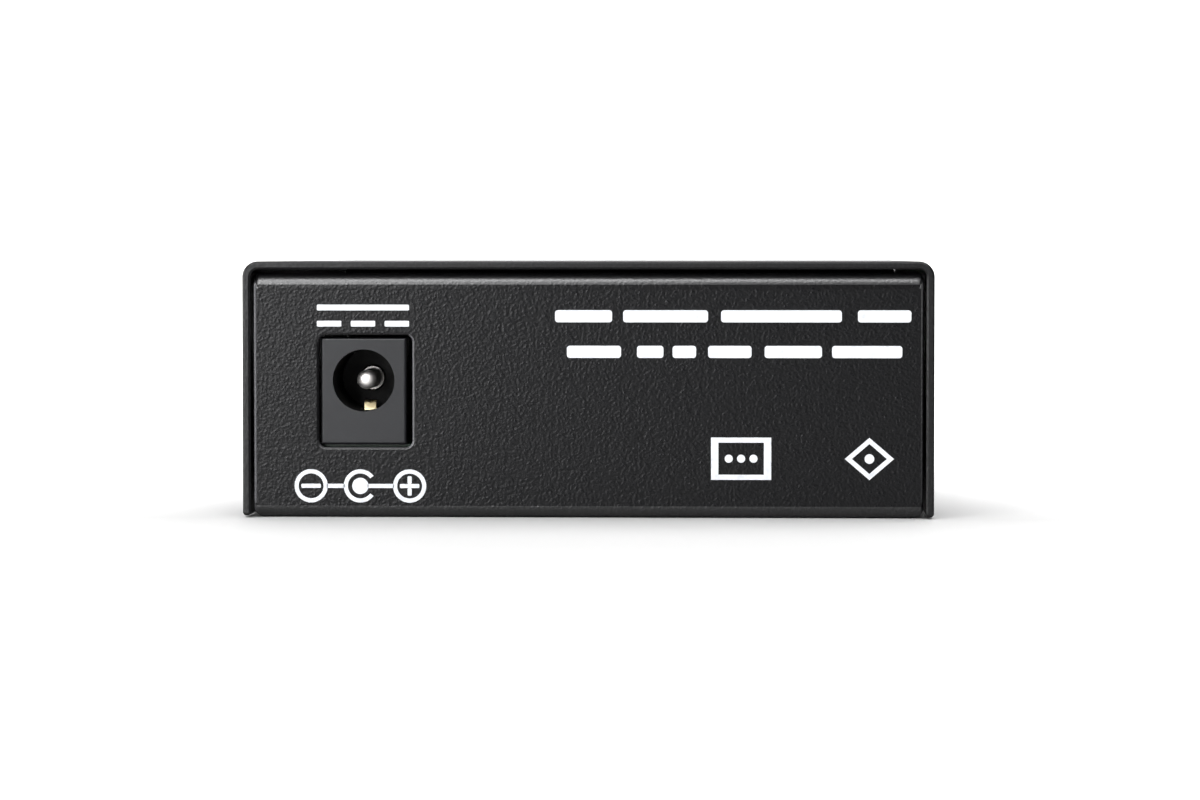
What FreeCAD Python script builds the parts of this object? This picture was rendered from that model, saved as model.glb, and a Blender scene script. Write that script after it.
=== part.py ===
"""Fibre media converter: a folded steel housing with a twisted-pair jack, a duplex fibre port and a
barrel power jack.

Frame: +Z up, +X to the right when the rear panel (the one with the power jack) is looked at, so the
rear panel faces -Y and the port panel faces +Y. The origin is the centre of the footprint, on the
underside of the floor. All sizes are millimetres.
"""

import FreeCAD, Part
import math
import os
import Sketcher

# Driving dimensions: alias, value, what it is.
SIZES = (
    # Housing, folded from steel sheet
    ("cover_width", 70.0, "outside width of the cover"),
    ("cover_length", 94.0, "rear rim to front rim of the cover"),
    ("cover_height", 26.0, "underside of the floor to the top of the cover"),
    ("sheet", 0.8, "thickness of the steel sheet, paint included"),
    ("cover_bend", 0.8, "inside radius of the cover's two bends"),
    ("base_bend", 0.4, "inside radius of the base's bends"),
    ("cover_lift", 0.2, "lower edges of the cover above the underside of the floor"),
    ("cover_overhang", 0.8, "cover rim proud of each panel"),
    ("rear_top_gap", 0.75, "free height between the cover and the rear panel's top fold"),
    ("port_top_gap", 0.25, "free height between the cover and the port panel's top fold"),
    ("panel_gap", 0.25, "free width between a panel's edge and the cover's wall"),
    ("panel_corner", 1.1, "rounding of the panels' lower corners"),
    ("fold_depth", 5.0, "depth of the inward fold along each panel's top"),
    ("flange_gap", 1.2, "free width between a side flange and the cover's wall"),
    ("flange_height", 11.5, "height of the side flanges"),
    ("relief", 1.0, "width of the bend reliefs beside the panels"),
    ("rim_bevel", 0.2, "bevel of the painted cut edges"),
    ("wall_end_round", 0.35, "rounding of the lower edges of the cover's walls"),
    # Side vents
    ("vent_width", 1.8, "width of one vent slot"),
    ("vent_height", 8.0, "height of one vent slot"),
    ("vent_pitch", 4.5, "distance from slot to slot"),
    ("vent_count", 10, "slots in each wall"),
    ("vent_drop", 4.0, "top of the slots below the top of the cover"),
    # Screws of the cover
    ("screw_radius", 1.46, "radius of the M3 shanks"),
    ("screw_clearance", 0.04, "radial play of an M3 shank in its thread"),
    ("cover_screw_length", 4.0, "length of a countersunk cover screw"),
    ("sink_head_radius", 2.8, "radius of a countersunk head"),
    ("cover_screw_inset", 13.0, "cover screw behind each rim"),
    ("cover_screw_height", 7.2, "cover screw above the underside"),
    ("dimple_play", 0.15, "play between a head and its dimple"),
    ("recess_arm", 0.7, "width of a driver recess's arms"),
    ("recess_reach", 1.3, "reach of a driver recess's arms"),
    ("thread_collar", 0.8, "length of the drawn collar behind each threaded hole"),
    # Circuit board on its standoffs
    ("board_side_gap", 2.2, "board edge clear of each side flange"),
    ("board_gap", 0.8, "board edge clear of each panel"),
    ("board_thickness", 1.6, "thickness of the circuit board"),
    ("board_corner", 1.0, "radius of the board's corners"),
    ("lan_over", 3.05, "twisted-pair jack clear of the port panel's top bend"),
    ("standoff_radius", 2.75, "radius of a clinched standoff"),
    ("standoff_foot_radius", 2.1, "radius of the standoff's foot in the floor"),
    ("standoff_side", 3.5, "standoffs inside the board's long edges"),
    ("standoff_end", 17.6, "standoffs inside the board's ends"),
    ("standoff_behind_fibre", 6.8, "front left standoff behind the fibre transceiver"),
    ("board_screw_short", 1.6, "tip of a board screw above the floor"),
    ("pan_head_radius", 2.75, "radius of a pan head"),
    ("pan_head_height", 2.0, "height of a pan head"),
    ("pan_head_top", 2.2, "radius of the flat top of a pan head"),
    ("pan_recess", 1.4, "depth of a pan head's driver recess"),
    ("hole_play", 0.15, "radial play of a screw or lead in its board hole"),
    # Power jack
    ("jack_side", 11.4, "middle of the power jack inside the cover's wall"),
    ("jack_recess", 0.5, "jack face behind the outside of the rear panel"),
    ("jack_width", 8.7, "width of the jack's face"),
    ("jack_height", 10.85, "height of the jack's face"),
    ("jack_face_depth", 3.4, "depth of the wide front of the jack"),
    ("jack_length", 14.2, "overall depth of the jack"),
    ("jack_barrel_width", 8.0, "width of the jack behind its face"),
    ("jack_axis", 6.5, "plug axis above the board"),
    ("jack_bore_radius", 3.15, "radius of the plug bore"),
    ("jack_bore_depth", 9.8, "depth of the plug bore"),
    ("jack_cutout_side", 0.4, "play beside the jack in the rear panel"),
    ("jack_cutout_over", 0.28, "play above and below the jack in the rear panel"),
    ("jack_cutout_shift", 0.25, "middle of the cut-out to the right of the jack"),
    ("jack_cutout_corner", 0.7, "corner radius of the jack's cut-out"),
    ("jack_back_wall", 1.4, "wall that carries the centre pin"),
    ("jack_pin_radius", 1.0, "radius of the centre pin"),
    ("jack_pin_recess", 2.5, "pin tip behind the jack's face"),
    ("jack_pin_round", 0.9, "rounding of the pin's tip"),
    ("jack_collar_radius", 1.35, "radius of the collar at the foot of the pin"),
    ("jack_collar_length", 0.6, "length of the collar at the foot of the pin"),
    ("jack_collar_chamfer", 0.15, "chamfer round the front of the collar"),
    ("jack_rivet_radius", 0.8, "radius of the pin's rivet shank"),
    ("jack_rivet_play", 0.05, "radial play of the rivet shank"),
    ("jack_rivet_head", 1.4, "radius of the rivet's head"),
    ("jack_rivet_head_length", 0.5, "length of the rivet's head"),
    ("jack_back_skirt", 1.0, "wall round the space behind the pin"),
    ("jack_edge_round", 0.25, "rounding of the jack's moulded edges"),
    ("contact_sheet", 0.3, "thickness of the stamped contacts"),
    ("rear_contact_width", 2.4, "width of the pin's contact strip"),
    ("rear_contact_over", 1.5, "reach of that strip above the pin's axis"),
    ("spring_slot_start", 4.0, "start of the spring's slot behind the jack's face"),
    ("spring_slot_width", 1.6, "width of the spring's slot"),
    ("spring_width", 1.2, "width of the sleeve spring"),
    ("spring_reach", 1.35, "height of the spring's crest in the bore, before it is bent round"),
    ("spring_crest", 7.2, "crest of the spring behind the jack's face"),
    ("spring_rise", 0.8, "depth of the spring's steep front"),
    ("spring_fall", 1.4, "depth of the spring's back slope"),
    ("spring_bend", 0.3, "bend radius of the sleeve spring"),
    ("spring_shelf", 2.4, "height of the spring's fixed end above the board"),
    ("switch_shelf", 1.75, "height of the switch contact above the board"),
    ("switch_reach", 1.3, "reach of the switch contact under the spring"),
    ("tail_length", 3.2, "reach of a solder tail below the board's top"),
    # Port panel: how the width that the ports and lamps leave free is shared out
    ("lamp_side_gap", 2.0, "lamp holders clear of the side flange"),
    ("fibre_side_share", 0.375, "share of the free width beside the fibre transceiver"),
    ("fibre_lan_share", 0.425, "share of the free width between the two ports"),
    ("port_proud", 0.6, "ports proud of the outside of the port panel"),
    # Twisted-pair jack
    ("lan_width", 16.0, "width over the shield"),
    ("lan_height", 13.3, "height over the shield"),
    ("lan_length", 21.0, "depth over the shield"),
    ("shield_sheet", 0.3, "thickness of the shield"),
    ("lan_insert_play", 0.05, "play of the insert in its shield"),
    ("lan_plug_width", 11.8, "width of the plug opening"),
    ("lan_plug_low", 4.4, "bottom of the plug opening above the board"),
    ("lan_plug_high", 11.2, "top of the plug opening above the board"),
    ("lan_plug_depth", 13.6, "depth of the plug opening"),
    ("lan_latch_width", 6.2, "width of the latch notch"),
    ("lan_latch_low", 2.6, "bottom of the latch notch above the board"),
    ("lan_wire", 0.36, "thickness of a contact wire"),
    ("lan_channel", 0.46, "width of the insert's wire channels"),
    ("lan_channel_depth", 0.95, "depth of the insert's wire channels"),
    ("lan_channel_start", 1.2, "front of the wire channels in the insert"),
    ("lan_comb_depth", 11.5, "channels open into the plug opening as far as this"),
    ("lan_wire_bend", 0.6, "bend radius of a contact wire"),
    ("lan_wire_drop", 3.2, "free end of a contact wire below its top run"),
    ("lan_wire_reach", 9.8, "free end of a contact wire behind the port's face"),
    ("lan_leg_width", 2.0, "width of a shield leg"),
    ("lan_leg_back", 12.0, "shield legs behind the port's face"),
    ("lan_wire_pitch", 1.02, "distance between contact wires"),
    ("lan_wire_count", 8, "contact wires"),
    ("port_cutout_play", 0.3, "play of each port in the port panel"),
    # Duplex fibre transceiver
    ("fibre_width", 25.4, "width of the fibre transceiver"),
    ("fibre_height", 10.0, "height of the fibre receptacle"),
    ("fibre_length", 38.0, "overall depth of the transceiver"),
    ("receptacle_length", 15.5, "depth of the receptacle"),
    ("fibre_axis", 5.0, "fibre axes above the board"),
    ("plug_width", 9.3, "width of one fibre opening"),
    ("plug_height", 7.6, "height of one fibre opening"),
    ("plug_depth", 14.0, "depth of one fibre opening"),
    ("key_width", 2.4, "width of the key notch"),
    ("key_height", 0.7, "height of the key notch"),
    ("clip_plate", 1.0, "thickness of the latch clip's plate"),
    ("clip_play", 0.1, "play of the latch clip in its opening"),
    ("clip_tube_radius", 2.3, "radius of the clip's ferrule tube"),
    ("clip_tube_length", 6.5, "length of the clip's ferrule tube"),
    ("clip_arm", 0.9, "thickness of a latch arm"),
    ("clip_arm_height", 3.2, "height of a latch arm"),
    ("clip_arm_length", 7.5, "length of a latch arm"),
    ("clip_hook", 0.5, "bite of a latch hook"),
    ("sleeve_radius", 1.7, "radius of an optical sleeve"),
    ("sleeve_bore", 1.26, "radius of the bore for the 2.5 mm ferrule"),
    ("optic_play", 0.05, "radial play of a sleeve in its clip"),
    ("can_radius", 2.9, "radius of an optical can"),
    ("can_length", 8.0, "length of an optical can"),
    ("case_wall", 1.0, "wall of the transceiver's case"),
    ("case_height", 9.4, "height of the transceiver's case"),
    ("module_board", 1.0, "thickness of the transceiver's own board"),
    ("module_board_height", 2.0, "underside of that board above the main board"),
    ("module_pin", 0.5, "thickness of a transceiver pin"),
    ("module_pin_count", 9, "pins in the transceiver's row"),
    ("header_side_play", 0.27, "header strip clear of the case on each side"),
    ("header_width", 2.5, "width of the header strip"),
    ("header_inset", 3.0, "header's pins before the rear of the transceiver"),
    ("pin_over", 0.6, "reach of the pins above the transceiver's board"),
    ("pin_play", 0.1, "play all round a pin in its holes"),
    ("can_lead", 0.4, "thickness of an optical can's lead"),
    ("can_lead_length", 2.5, "length of an optical can's lead"),
    ("can_lead_pitch", 2.0, "distance between an optical can's leads"),
    # Indicator lamps
    ("lamp_column_count", 3, "lamp holders, side by side"),
    ("lamp_column_gap", 0.35, "free width between lamp holders"),
    ("lamp_low", 3.2, "lower lamps above the board"),
    ("lamp_high", 8.4, "upper lamps above the board"),
    ("lamp_radius", 1.5, "radius of a lamp"),
    ("lamp_dome", 1.4, "rounding of a lamp's tip"),
    ("lamp_rim_radius", 1.8, "radius of a lamp's rim"),
    ("lamp_rim_length", 1.0, "length of a lamp's rim"),
    ("lamp_length", 6.1, "length of a lamp without its leads"),
    ("lamp_play", 0.05, "radial play of a lamp in its holder"),
    ("lamp_lead", 0.4, "thickness of a lamp's lead"),
    ("lamp_lead_low", 1.6, "lower lamps' leads behind the lamp"),
    ("lamp_lead_high", 2.8, "upper lamps' leads behind the lamp"),
    ("lamp_lead_pitch", 2.54, "distance between a lamp's leads"),
    ("lamp_proud", 0.5, "lamp tip proud of the port panel"),
    ("lamp_hole_play", 0.2, "radial play of a lamp in the port panel"),
    ("lamp_holder_width", 4.1, "width of a lamp holder"),
    ("lamp_holder_height", 10.8, "height of a lamp holder"),
    ("lamp_holder_depth", 5.0, "depth of a lamp holder"),
    ("lamp_holder_gap", 0.4, "lamp holder behind the port panel"),
    # Parts soldered on the board
    ("lead_reach", 1.0, "reach of a chip's lead past its package"),
    ("lead_foot", 0.5, "length of a lead's foot on the board"),
    ("lead_sheet", 0.18, "thickness of a chip's lead"),
    ("package_lift", 0.1, "underside of a package above the board"),
    ("package_chamfer", 0.25, "chamfer round the top of a package"),
    ("converter_x", 4.0, "middle of the converter chip"),
    ("middle_row", -9.0, "converter chip, memory chip and crystal before the middle of the board"),
    ("converter_size", 10.0, "side of the converter chip"),
    ("converter_thickness", 1.4, "thickness of the converter chip"),
    ("converter_lead_count", 11, "leads on each side of the converter chip"),
    ("converter_lead_pitch", 0.8, "distance between the converter chip's leads"),
    ("converter_lead_width", 0.35, "width of one of the converter chip's leads"),
    ("small_chip_length", 4.9, "length of the two small chips"),
    ("small_chip_width", 3.9, "width of the two small chips"),
    ("small_chip_thickness", 1.45, "thickness of the two small chips"),
    ("small_chip_lead_count", 4, "leads on each side of a small chip"),
    ("small_chip_lead_width", 0.42, "width of a small chip's lead"),
    ("memory_x", 18.0, "middle of the memory chip"),
    ("regulator_x", 3.0, "middle of the regulator chip"),
    ("regulator_end", 17.6, "regulator chip inside the board's rear end"),
    ("transformer_length", 12.7, "length of the line transformer across the board"),
    ("transformer_depth", 7.4, "depth of the line transformer"),
    ("transformer_height", 5.6, "height of the line transformer"),
    ("transformer_gap", 3.0, "line transformer behind the twisted-pair jack"),
    ("transformer_lead_count", 8, "leads on each side of the line transformer"),
    ("wide_lead_pitch", 1.27, "distance between the leads of the transformer and the small chips"),
    ("crystal_x", -13.0, "middle of the crystal"),
    ("crystal_length", 11.3, "length of the crystal's foot"),
    ("crystal_width", 4.7, "width of the crystal's foot"),
    ("crystal_foot", 0.45, "height of the crystal's foot"),
    ("crystal_brim", 0.5, "foot of the crystal past its can"),
    ("crystal_height", 3.6, "height of the crystal"),
    ("inductor_x", 12.0, "middle of the power inductor"),
    ("inductor_end", 7.6, "power inductor inside the board's rear end"),
    ("inductor_size", 7.2, "side of the power inductor"),
    ("inductor_height", 4.2, "height of the power inductor"),
    ("inductor_corner", 1.6, "corner radius of the power inductor"),
    ("capacitor_radius", 3.15, "radius of an electrolytic capacitor"),
    ("capacitor_height", 7.7, "height of an electrolytic capacitor"),
    ("capacitor_base", 6.6, "side of a capacitor's base"),
    ("capacitor_base_height", 0.8, "height of a capacitor's base"),
    ("capacitor_corner", 1.3, "cut corners of a capacitor's base"),
    ("capacitor_edge", 0.4, "bevel round a capacitor's top"),
    ("input_capacitor_x", -2.5, "middle of the capacitor behind the power jack"),
    ("output_capacitor_x", 22.0, "middle of the two capacitors beside the inductor and the lamps"),
    ("capacitor_end", 6.6, "input and output capacitors inside the board's rear end"),
    ("lamp_capacitor_y", 8.0, "middle of the capacitor behind the lamps"),
    ("diode_x", -11.0, "middle of the rectifier diode"),
    ("diode_end", 13.6, "rectifier diode inside the board's rear end"),
    ("diode_length", 4.4, "length of the rectifier diode"),
    ("diode_width", 2.6, "width of the rectifier diode"),
    ("diode_height", 2.2, "height of the rectifier diode"),
    ("diode_tab", 1.5, "width of the diode's tabs"),
    ("diode_tab_reach", 0.4, "reach of the diode's tabs"),
    ("fuse_x", -11.0, "middle of the resettable fuse"),
    ("fuse_end", 5.6, "resettable fuse inside the board's rear end"),
    ("fuse_length", 4.6, "length of the resettable fuse"),
    ("fuse_width", 3.2, "width of the resettable fuse"),
    ("fuse_height", 1.0, "height of the resettable fuse"),
    ("fuse_cap", 0.6, "length of the fuse's end caps"),
    ("fuse_cap_over", 0.08, "end caps proud of the fuse"),
    ("passive_length", 1.6, "length of a chip resistor or capacitor"),
    ("passive_width", 0.8, "width of a chip resistor or capacitor"),
    ("resistor_height", 0.45, "height of a chip resistor"),
    ("ceramic_height", 0.8, "height of a chip capacitor"),
    ("passive_pitch", 2.2, "distance between neighbouring chip parts"),
    ("passive_row", 9.0, "rows of chip parts beside the converter chip's middle"),
    ("passive_count", 6, "chip parts in a row"),
)

BUILD_FOLDER = "parts"
ROUND_ENOUGH = 1e-6

document = FreeCAD.newDocument("MediaConverter")
sheet = document.addObject("Spreadsheet::Sheet", "Sizes")


class Size:
    """A number together with the spreadsheet expression that gives it."""

    def __init__(self, number, text):
        self.number = number
        self.text = text

    def joined(self, sign, other, number):
        return Size(number, "(%s %s %s)" % (self.text, sign, text_of(other)))

    def __add__(self, other):
        return self.joined("+", other, self.number + number_of(other))

    def __sub__(self, other):
        return self.joined("-", other, self.number - number_of(other))

    def __mul__(self, other):
        return self.joined("*", other, self.number * number_of(other))

    def __truediv__(self, other):
        return self.joined("/", other, self.number / number_of(other))

    def __neg__(self):
        return Size(-self.number, "(-1 * %s)" % self.text)

    __radd__ = __add__
    __rmul__ = __mul__

    def __rsub__(self, other):
        return -self + other


def number_of(value):
    return value.number if isinstance(value, Size) else float(value)


def text_of(value):
    return value.text if isinstance(value, Size) else repr(float(value))


class Sizes:
    """The spreadsheet's cells, each as an attribute named by its alias."""

    def __init__(self, rows):
        for row, (alias, value, note) in enumerate(rows, start=1):
            sheet.set("A%d" % row, alias)
            sheet.set("B%d" % row, repr(value))
            sheet.set("C%d" % row, note)
            sheet.setAlias("B%d" % row, alias)
            setattr(self, alias, Size(value, "Sizes.%s" % alias))


size = Sizes(SIZES)
document.recompute()


# ---------------------------------------------------------------- planes and sketches


def bind(thing, property_name, value):
    """Sets a property from a number, or ties it to the sheet where the value comes from there."""
    if isinstance(value, Size):
        thing.setExpression(property_name, value.text)
    elif number_of(value):
        thing.setExpression(property_name, text_of(value))


def new_body(name, place=(0, 0, 0)):
    """A body named for its sub-part, standing at a place in the part's frame."""
    body = document.addObject("PartDesign::Body", name)
    body.Label = name
    for axis, value in zip("xyz", place):
        bind(body, "Placement.Base." + axis, value)
    return body


def origin_feature(body, role):
    return next(item for item in body.Origin.OriginFeatures if item.Role == role)


def sketch_on(body, plane, place=(0, 0, 0)):
    """A sketch on one of the body's own planes, moved to a place in the body's frame."""
    x, y, z = place
    offsets = {"XY": (x, y, z), "XZ": (x, z, -1 * y), "YZ": (y, z, x)}[plane]
    sketch = body.newObject("Sketcher::SketchObject", "Sketch")
    sketch.AttachmentSupport = (origin_feature(body, plane + "_Plane"), [""])
    sketch.MapMode = "FlatFace"
    for axis, value in zip("xyz", offsets):
        bind(sketch, "AttachmentOffset.Base." + axis, value)
    return sketch


def constrain(sketch, kind, *arguments):
    """Adds a constraint; a last argument that is a Size ties its value to the sheet."""
    value = arguments[-1]
    if isinstance(value, Size):
        index = sketch.addConstraint(Sketcher.Constraint(kind, *arguments[:-1], value.number))
        sketch.setExpression("Constraints[%d]" % index, value.text)
    else:
        sketch.addConstraint(Sketcher.Constraint(kind, *arguments))


def locate(sketch, geometry, position, x=None, y=None):
    """Holds a point of the sketch at a distance from its axes."""
    for value, kind, axis in ((x, "DistanceX", -2), (y, "DistanceY", -1)):
        if value is None:
            continue
        if abs(number_of(value)) < ROUND_ENOUGH:
            sketch.addConstraint(Sketcher.Constraint("PointOnObject", geometry, position, axis))
        else:
            constrain(sketch, kind, -1, 1, geometry, position, as_size(value))


def as_size(value):
    return value if isinstance(value, Size) else Size(float(value), repr(float(value)))


def vector(x, y):
    return FreeCAD.Vector(number_of(x), number_of(y), 0)


def polygon(sketch, points):
    """A closed outline of straight lines through points held one by one."""
    first = len(sketch.Geometry)
    for start, end in zip(points, points[1:] + points[:1]):
        sketch.addGeometry(Part.LineSegment(vector(*start), vector(*end)), False)
    for index, (x, y) in enumerate(points):
        following = (index + 1) % len(points)
        constrain(sketch, "Coincident", first + index, 2, first + following, 1)
        locate(sketch, first + index, 1, x, y)


def outline(sketch, corners):
    """A closed outline of upright and level lines. Each corner is (x, y) or (x, y, radius)."""
    corners = [(c[0], c[1], c[2] if len(c) > 2 else None) for c in corners]
    count = len(corners)
    points = [vector(c[0], c[1]) for c in corners]
    radii = [number_of(c[2]) if c[2] is not None else 0.0 for c in corners]
    ways = [(points[(i + 1) % count] - points[i]).normalize() for i in range(count)]
    first = len(sketch.Geometry)
    for i in range(count):
        start = points[i] + ways[i] * radii[i]
        end = points[(i + 1) % count] - ways[i] * radii[(i + 1) % count]
        sketch.addGeometry(Part.LineSegment(start, end), False)
    for i, (x, y, radius) in enumerate(corners):
        line, before = first + i, first + (i - 1) % count
        upright = abs(ways[i].x) < ROUND_ENOUGH
        constrain(sketch, "Vertical" if upright else "Horizontal", line)
        locate(sketch, line, 1, x if upright else None, None if upright else y)
        if radius is None:
            constrain(sketch, "Coincident", before, 2, line, 1)
            continue
        came, goes = ways[i - 1], ways[i]
        centre = points[i] - came * radii[i] + goes * radii[i]
        left_turn = came.x * goes.y - came.y * goes.x > 0
        start, end = (-goes, came) if left_turn else (came, -goes)
        arc = add_arc(sketch, centre, radii[i], start, end)
        entry, leave = (1, 2) if left_turn else (2, 1)
        constrain(sketch, "Tangent", before, 2, arc, entry)
        constrain(sketch, "Tangent", line, 1, arc, leave)
        constrain(sketch, "Radius", arc, as_size(radius))


def add_arc(sketch, centre, radius, start, end):
    """An arc that runs counter-clockwise between two directions seen from its centre."""
    circle = Part.Circle(centre, FreeCAD.Vector(0, 0, 1), radius)
    angles = [math.atan2(way.y, way.x) for way in (start, end)]
    if angles[1] < angles[0]:
        angles[1] += 2 * math.pi
    return sketch.addGeometry(Part.ArcOfCircle(circle, *angles), False)


def rectangle(sketch, left, low, right, high, radius=None):
    outline(sketch, [(left, low, radius), (right, low, radius), (right, high, radius), (left, high, radius)])


def circle(sketch, x, y, radius):
    index = sketch.addGeometry(
        Part.Circle(vector(x, y), FreeCAD.Vector(0, 0, 1), number_of(radius)), False
    )
    locate(sketch, index, 3, x, y)
    constrain(sketch, "Radius", index, as_size(radius))


# ---------------------------------------------------------------- features


def finish(body, feature):
    """Makes a new feature the body's tip and works it out."""
    body.Tip = feature
    document.recompute()
    return feature


def extrude(body, kind, sketch, length, both=False, back=False):
    """A Pad or Pocket of a sketch; back turns it round, both centres it on the sketch."""
    feature = body.newObject("PartDesign::" + kind, kind)
    feature.Profile = sketch
    feature.Midplane = both
    feature.Reversed = back
    if length is None:
        feature.Type = "ThroughAll"
    else:
        bind(feature, "Length", length)
    return finish(body, feature)


def pad(body, sketch, length, both=False, back=False):
    return extrude(body, "Pad", sketch, length, both, back)


def pocket(body, sketch, length=None, both=False, back=False):
    """Cuts a sketch into the body, and fails the build if nothing was cut."""
    before = body.Shape.Volume
    feature = extrude(body, "Pocket", sketch, length, both, back)
    if body.Shape.Volume > before - ROUND_ENOUGH:
        raise RuntimeError("%s: %s cut nothing" % (body.Label, feature.Name))
    return feature


def turn(body, kind, sketch, axis):
    """A Revolution or Groove of a sketch about its own H or V axis."""
    feature = body.newObject("PartDesign::" + kind, kind)
    feature.Profile = sketch
    feature.ReferenceAxis = (sketch, [axis + "_Axis"])
    feature.Angle = 360
    return finish(body, feature)


def row_of(body, feature, axis, count, pitch):
    """Repeats a feature along one of the body's axes."""
    pattern = body.newObject("PartDesign::LinearPattern", "Row")
    pattern.Originals = [feature]
    pattern.Direction = (origin_feature(body, axis + "_Axis"), [""])
    pattern.Mode = "Spacing"
    bind(pattern, "Offset", pitch)
    bind(pattern, "Occurrences", count)
    return finish(body, pattern)


def mirror(body, features, plane):
    copy = body.newObject("PartDesign::Mirrored", "Mirror")
    copy.Originals = features
    copy.MirrorPlane = (origin_feature(body, plane + "_Plane"), [""])
    return finish(body, copy)


def edges_where(shape, test):
    """Names of the edges whose middle point and direction pass a test."""
    names = []
    for index, edge in enumerate(shape.Edges, start=1):
        middle = edge.valueAt((edge.FirstParameter + edge.LastParameter) / 2)
        if test(edge, middle):
            names.append("Edge%d" % index)
    return names


def soften(body, kind, test, amount):
    """A Fillet or Chamfer on every edge of the body's tip that passes a test."""
    tip = body.Tip
    names = edges_where(tip.Shape, test)
    if not names:
        raise RuntimeError("%s: no edge to soften" % body.Label)
    feature = body.newObject("PartDesign::" + kind, kind)
    feature.Base = (tip, names)
    bind(feature, "Radius" if kind == "Fillet" else "Size", amount)
    return finish(body, feature)


def near(value, target):
    return abs(value - number_of(target)) < 1e-4


def part_feature(name, shape, place=(0, 0, 0)):
    """A sub-part whose shape comes from Part's own functions, standing at a place."""
    feature = document.addObject("Part::Feature", name)
    feature.Label = name
    feature.Shape = shape
    feature.Placement.Base = FreeCAD.Vector(*[number_of(value) for value in place])
    return feature


def bent_strip(points, thickness, width, radius):
    """A strip bent along a line in the YZ plane, its width along X and centred on X = 0."""
    start = -number_of(width) / 2
    path = [FreeCAD.Vector(start, number_of(y), number_of(z)) for y, z in points]
    half, bend = number_of(thickness) / 2, number_of(radius)
    sides = {1: [], -1: []}
    for side, run in sides.items():
        last = path[0] + side_of(path[0], path[1]) * half * side
        for before, corner, after in zip(path, path[1:], path[2:]):
            came, goes = (corner - before).normalize(), (after - corner).normalize()
            inward = (goes - came).normalize()
            half_turn = math.acos(max(-1.0, min(1.0, came * goes))) / 2
            reach = bend * math.tan(half_turn)
            centre = corner + inward * (bend / math.cos(half_turn))
            arc = []
            for spot in (corner - came * reach, corner - inward * 0, corner + goes * reach):
                away = (spot - centre).normalize()
                offset = half * side * (1 if side_of(before, corner) * inward < 0 else -1)
                arc.append(centre + away * (bend + offset))
            run.append(Part.LineSegment(last, arc[0]).toShape())
            run.append(Part.Arc(*arc).toShape())
            last = arc[2]
        run.append(Part.LineSegment(last, path[-1] + side_of(path[-2], path[-1]) * half * side).toShape())
    caps = []
    for end, (a, b) in ((path[0], path[:2]), (path[-1], path[-2:])):
        across = side_of(a, b) * half
        caps.append(Part.LineSegment(end + across, end - across).toShape())
    wire = Part.Wire(Part.__sortEdges__(sides[1] + caps + sides[-1]))
    return Part.Face(wire).extrude(FreeCAD.Vector(number_of(width), 0, 0))


def side_of(start, end):
    """The unit direction across a line in the YZ plane."""
    way = (end - start).normalize()
    return FreeCAD.Vector(0, -way.z, way.y)


def slot(sketch, x, y, width, height):
    """An upright slot with round ends about a middle point."""
    radius, reach = width / 2, (height - width) / 2
    first = len(sketch.Geometry)
    right, left = vector(x + radius, y), vector(x - radius, y)
    rise = FreeCAD.Vector(0, number_of(reach), 0)
    along = FreeCAD.Vector(1, 0, 0)
    sketch.addGeometry(Part.LineSegment(right - rise, right + rise), False)
    add_arc(sketch, vector(x, y + reach), number_of(radius), along, -along)
    sketch.addGeometry(Part.LineSegment(left + rise, left - rise), False)
    add_arc(sketch, vector(x, y - reach), number_of(radius), -along, along)
    for index in range(4):
        constrain(sketch, "Tangent", first + index, 2, first + (index + 1) % 4, 1)
    constrain(sketch, "Vertical", first)
    constrain(sketch, "Radius", first + 1, radius)
    locate(sketch, first + 1, 3, x, y + reach)
    locate(sketch, first + 3, 3, None, y - reach)


def arch(sketch, half_width, springing):
    """A doorway outline standing on the sketch's X axis with a half-round top."""
    first = len(sketch.Geometry)
    right, left = vector(half_width, 0), vector(-half_width, 0)
    rise = FreeCAD.Vector(0, number_of(springing), 0)
    along = FreeCAD.Vector(1, 0, 0)
    sketch.addGeometry(Part.LineSegment(left, right), False)
    sketch.addGeometry(Part.LineSegment(right, right + rise), False)
    add_arc(sketch, rise, number_of(half_width), along, -along)
    sketch.addGeometry(Part.LineSegment(left + rise, left), False)
    constrain(sketch, "Coincident", first, 2, first + 1, 1)
    constrain(sketch, "Tangent", first + 1, 2, first + 2, 1)
    constrain(sketch, "Tangent", first + 2, 2, first + 3, 1)
    constrain(sketch, "Coincident", first + 3, 2, first, 1)
    for upright in (first + 1, first + 3):
        constrain(sketch, "Vertical", upright)
    locate(sketch, first, 1, -half_width, 0)
    locate(sketch, first, 2, None, 0)
    locate(sketch, first + 2, 3, 0, springing)


def lathe(points):
    """A solid turned about the Z axis from (radius, height) points."""
    corners = [FreeCAD.Vector(number_of(r), 0, number_of(z)) for r, z in points]
    face = Part.Face(Part.makePolygon(corners + corners[:1]))
    return face.revolve(FreeCAD.Vector(0, 0, 0), FreeCAD.Vector(0, 0, 1), 360)


def block(low, high):
    """A solid box between two corners."""
    corner, other = [FreeCAD.Vector(*[number_of(value) for value in point]) for point in (low, high)]
    return Part.makeBox(other.x - corner.x, other.y - corner.y, other.z - corner.z, corner)


def copies(name, shape, places):
    """One node that holds a copy of a fastener or chip part at each place."""
    group = []
    for place in places:
        copy = shape.copy()
        copy.translate(FreeCAD.Vector(*[number_of(value) for value in place]))
        group.append(copy)
    return part_feature(name, Part.makeCompound(group))


# ---------------------------------------------------------------- places worked out from the sizes


def row_places(count, pitch):
    """Places of a row of so many things, centred on zero."""
    middle = (number_of(count) - 1) / 2
    return [pitch * (index - middle) for index in range(int(number_of(count)))]


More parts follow.
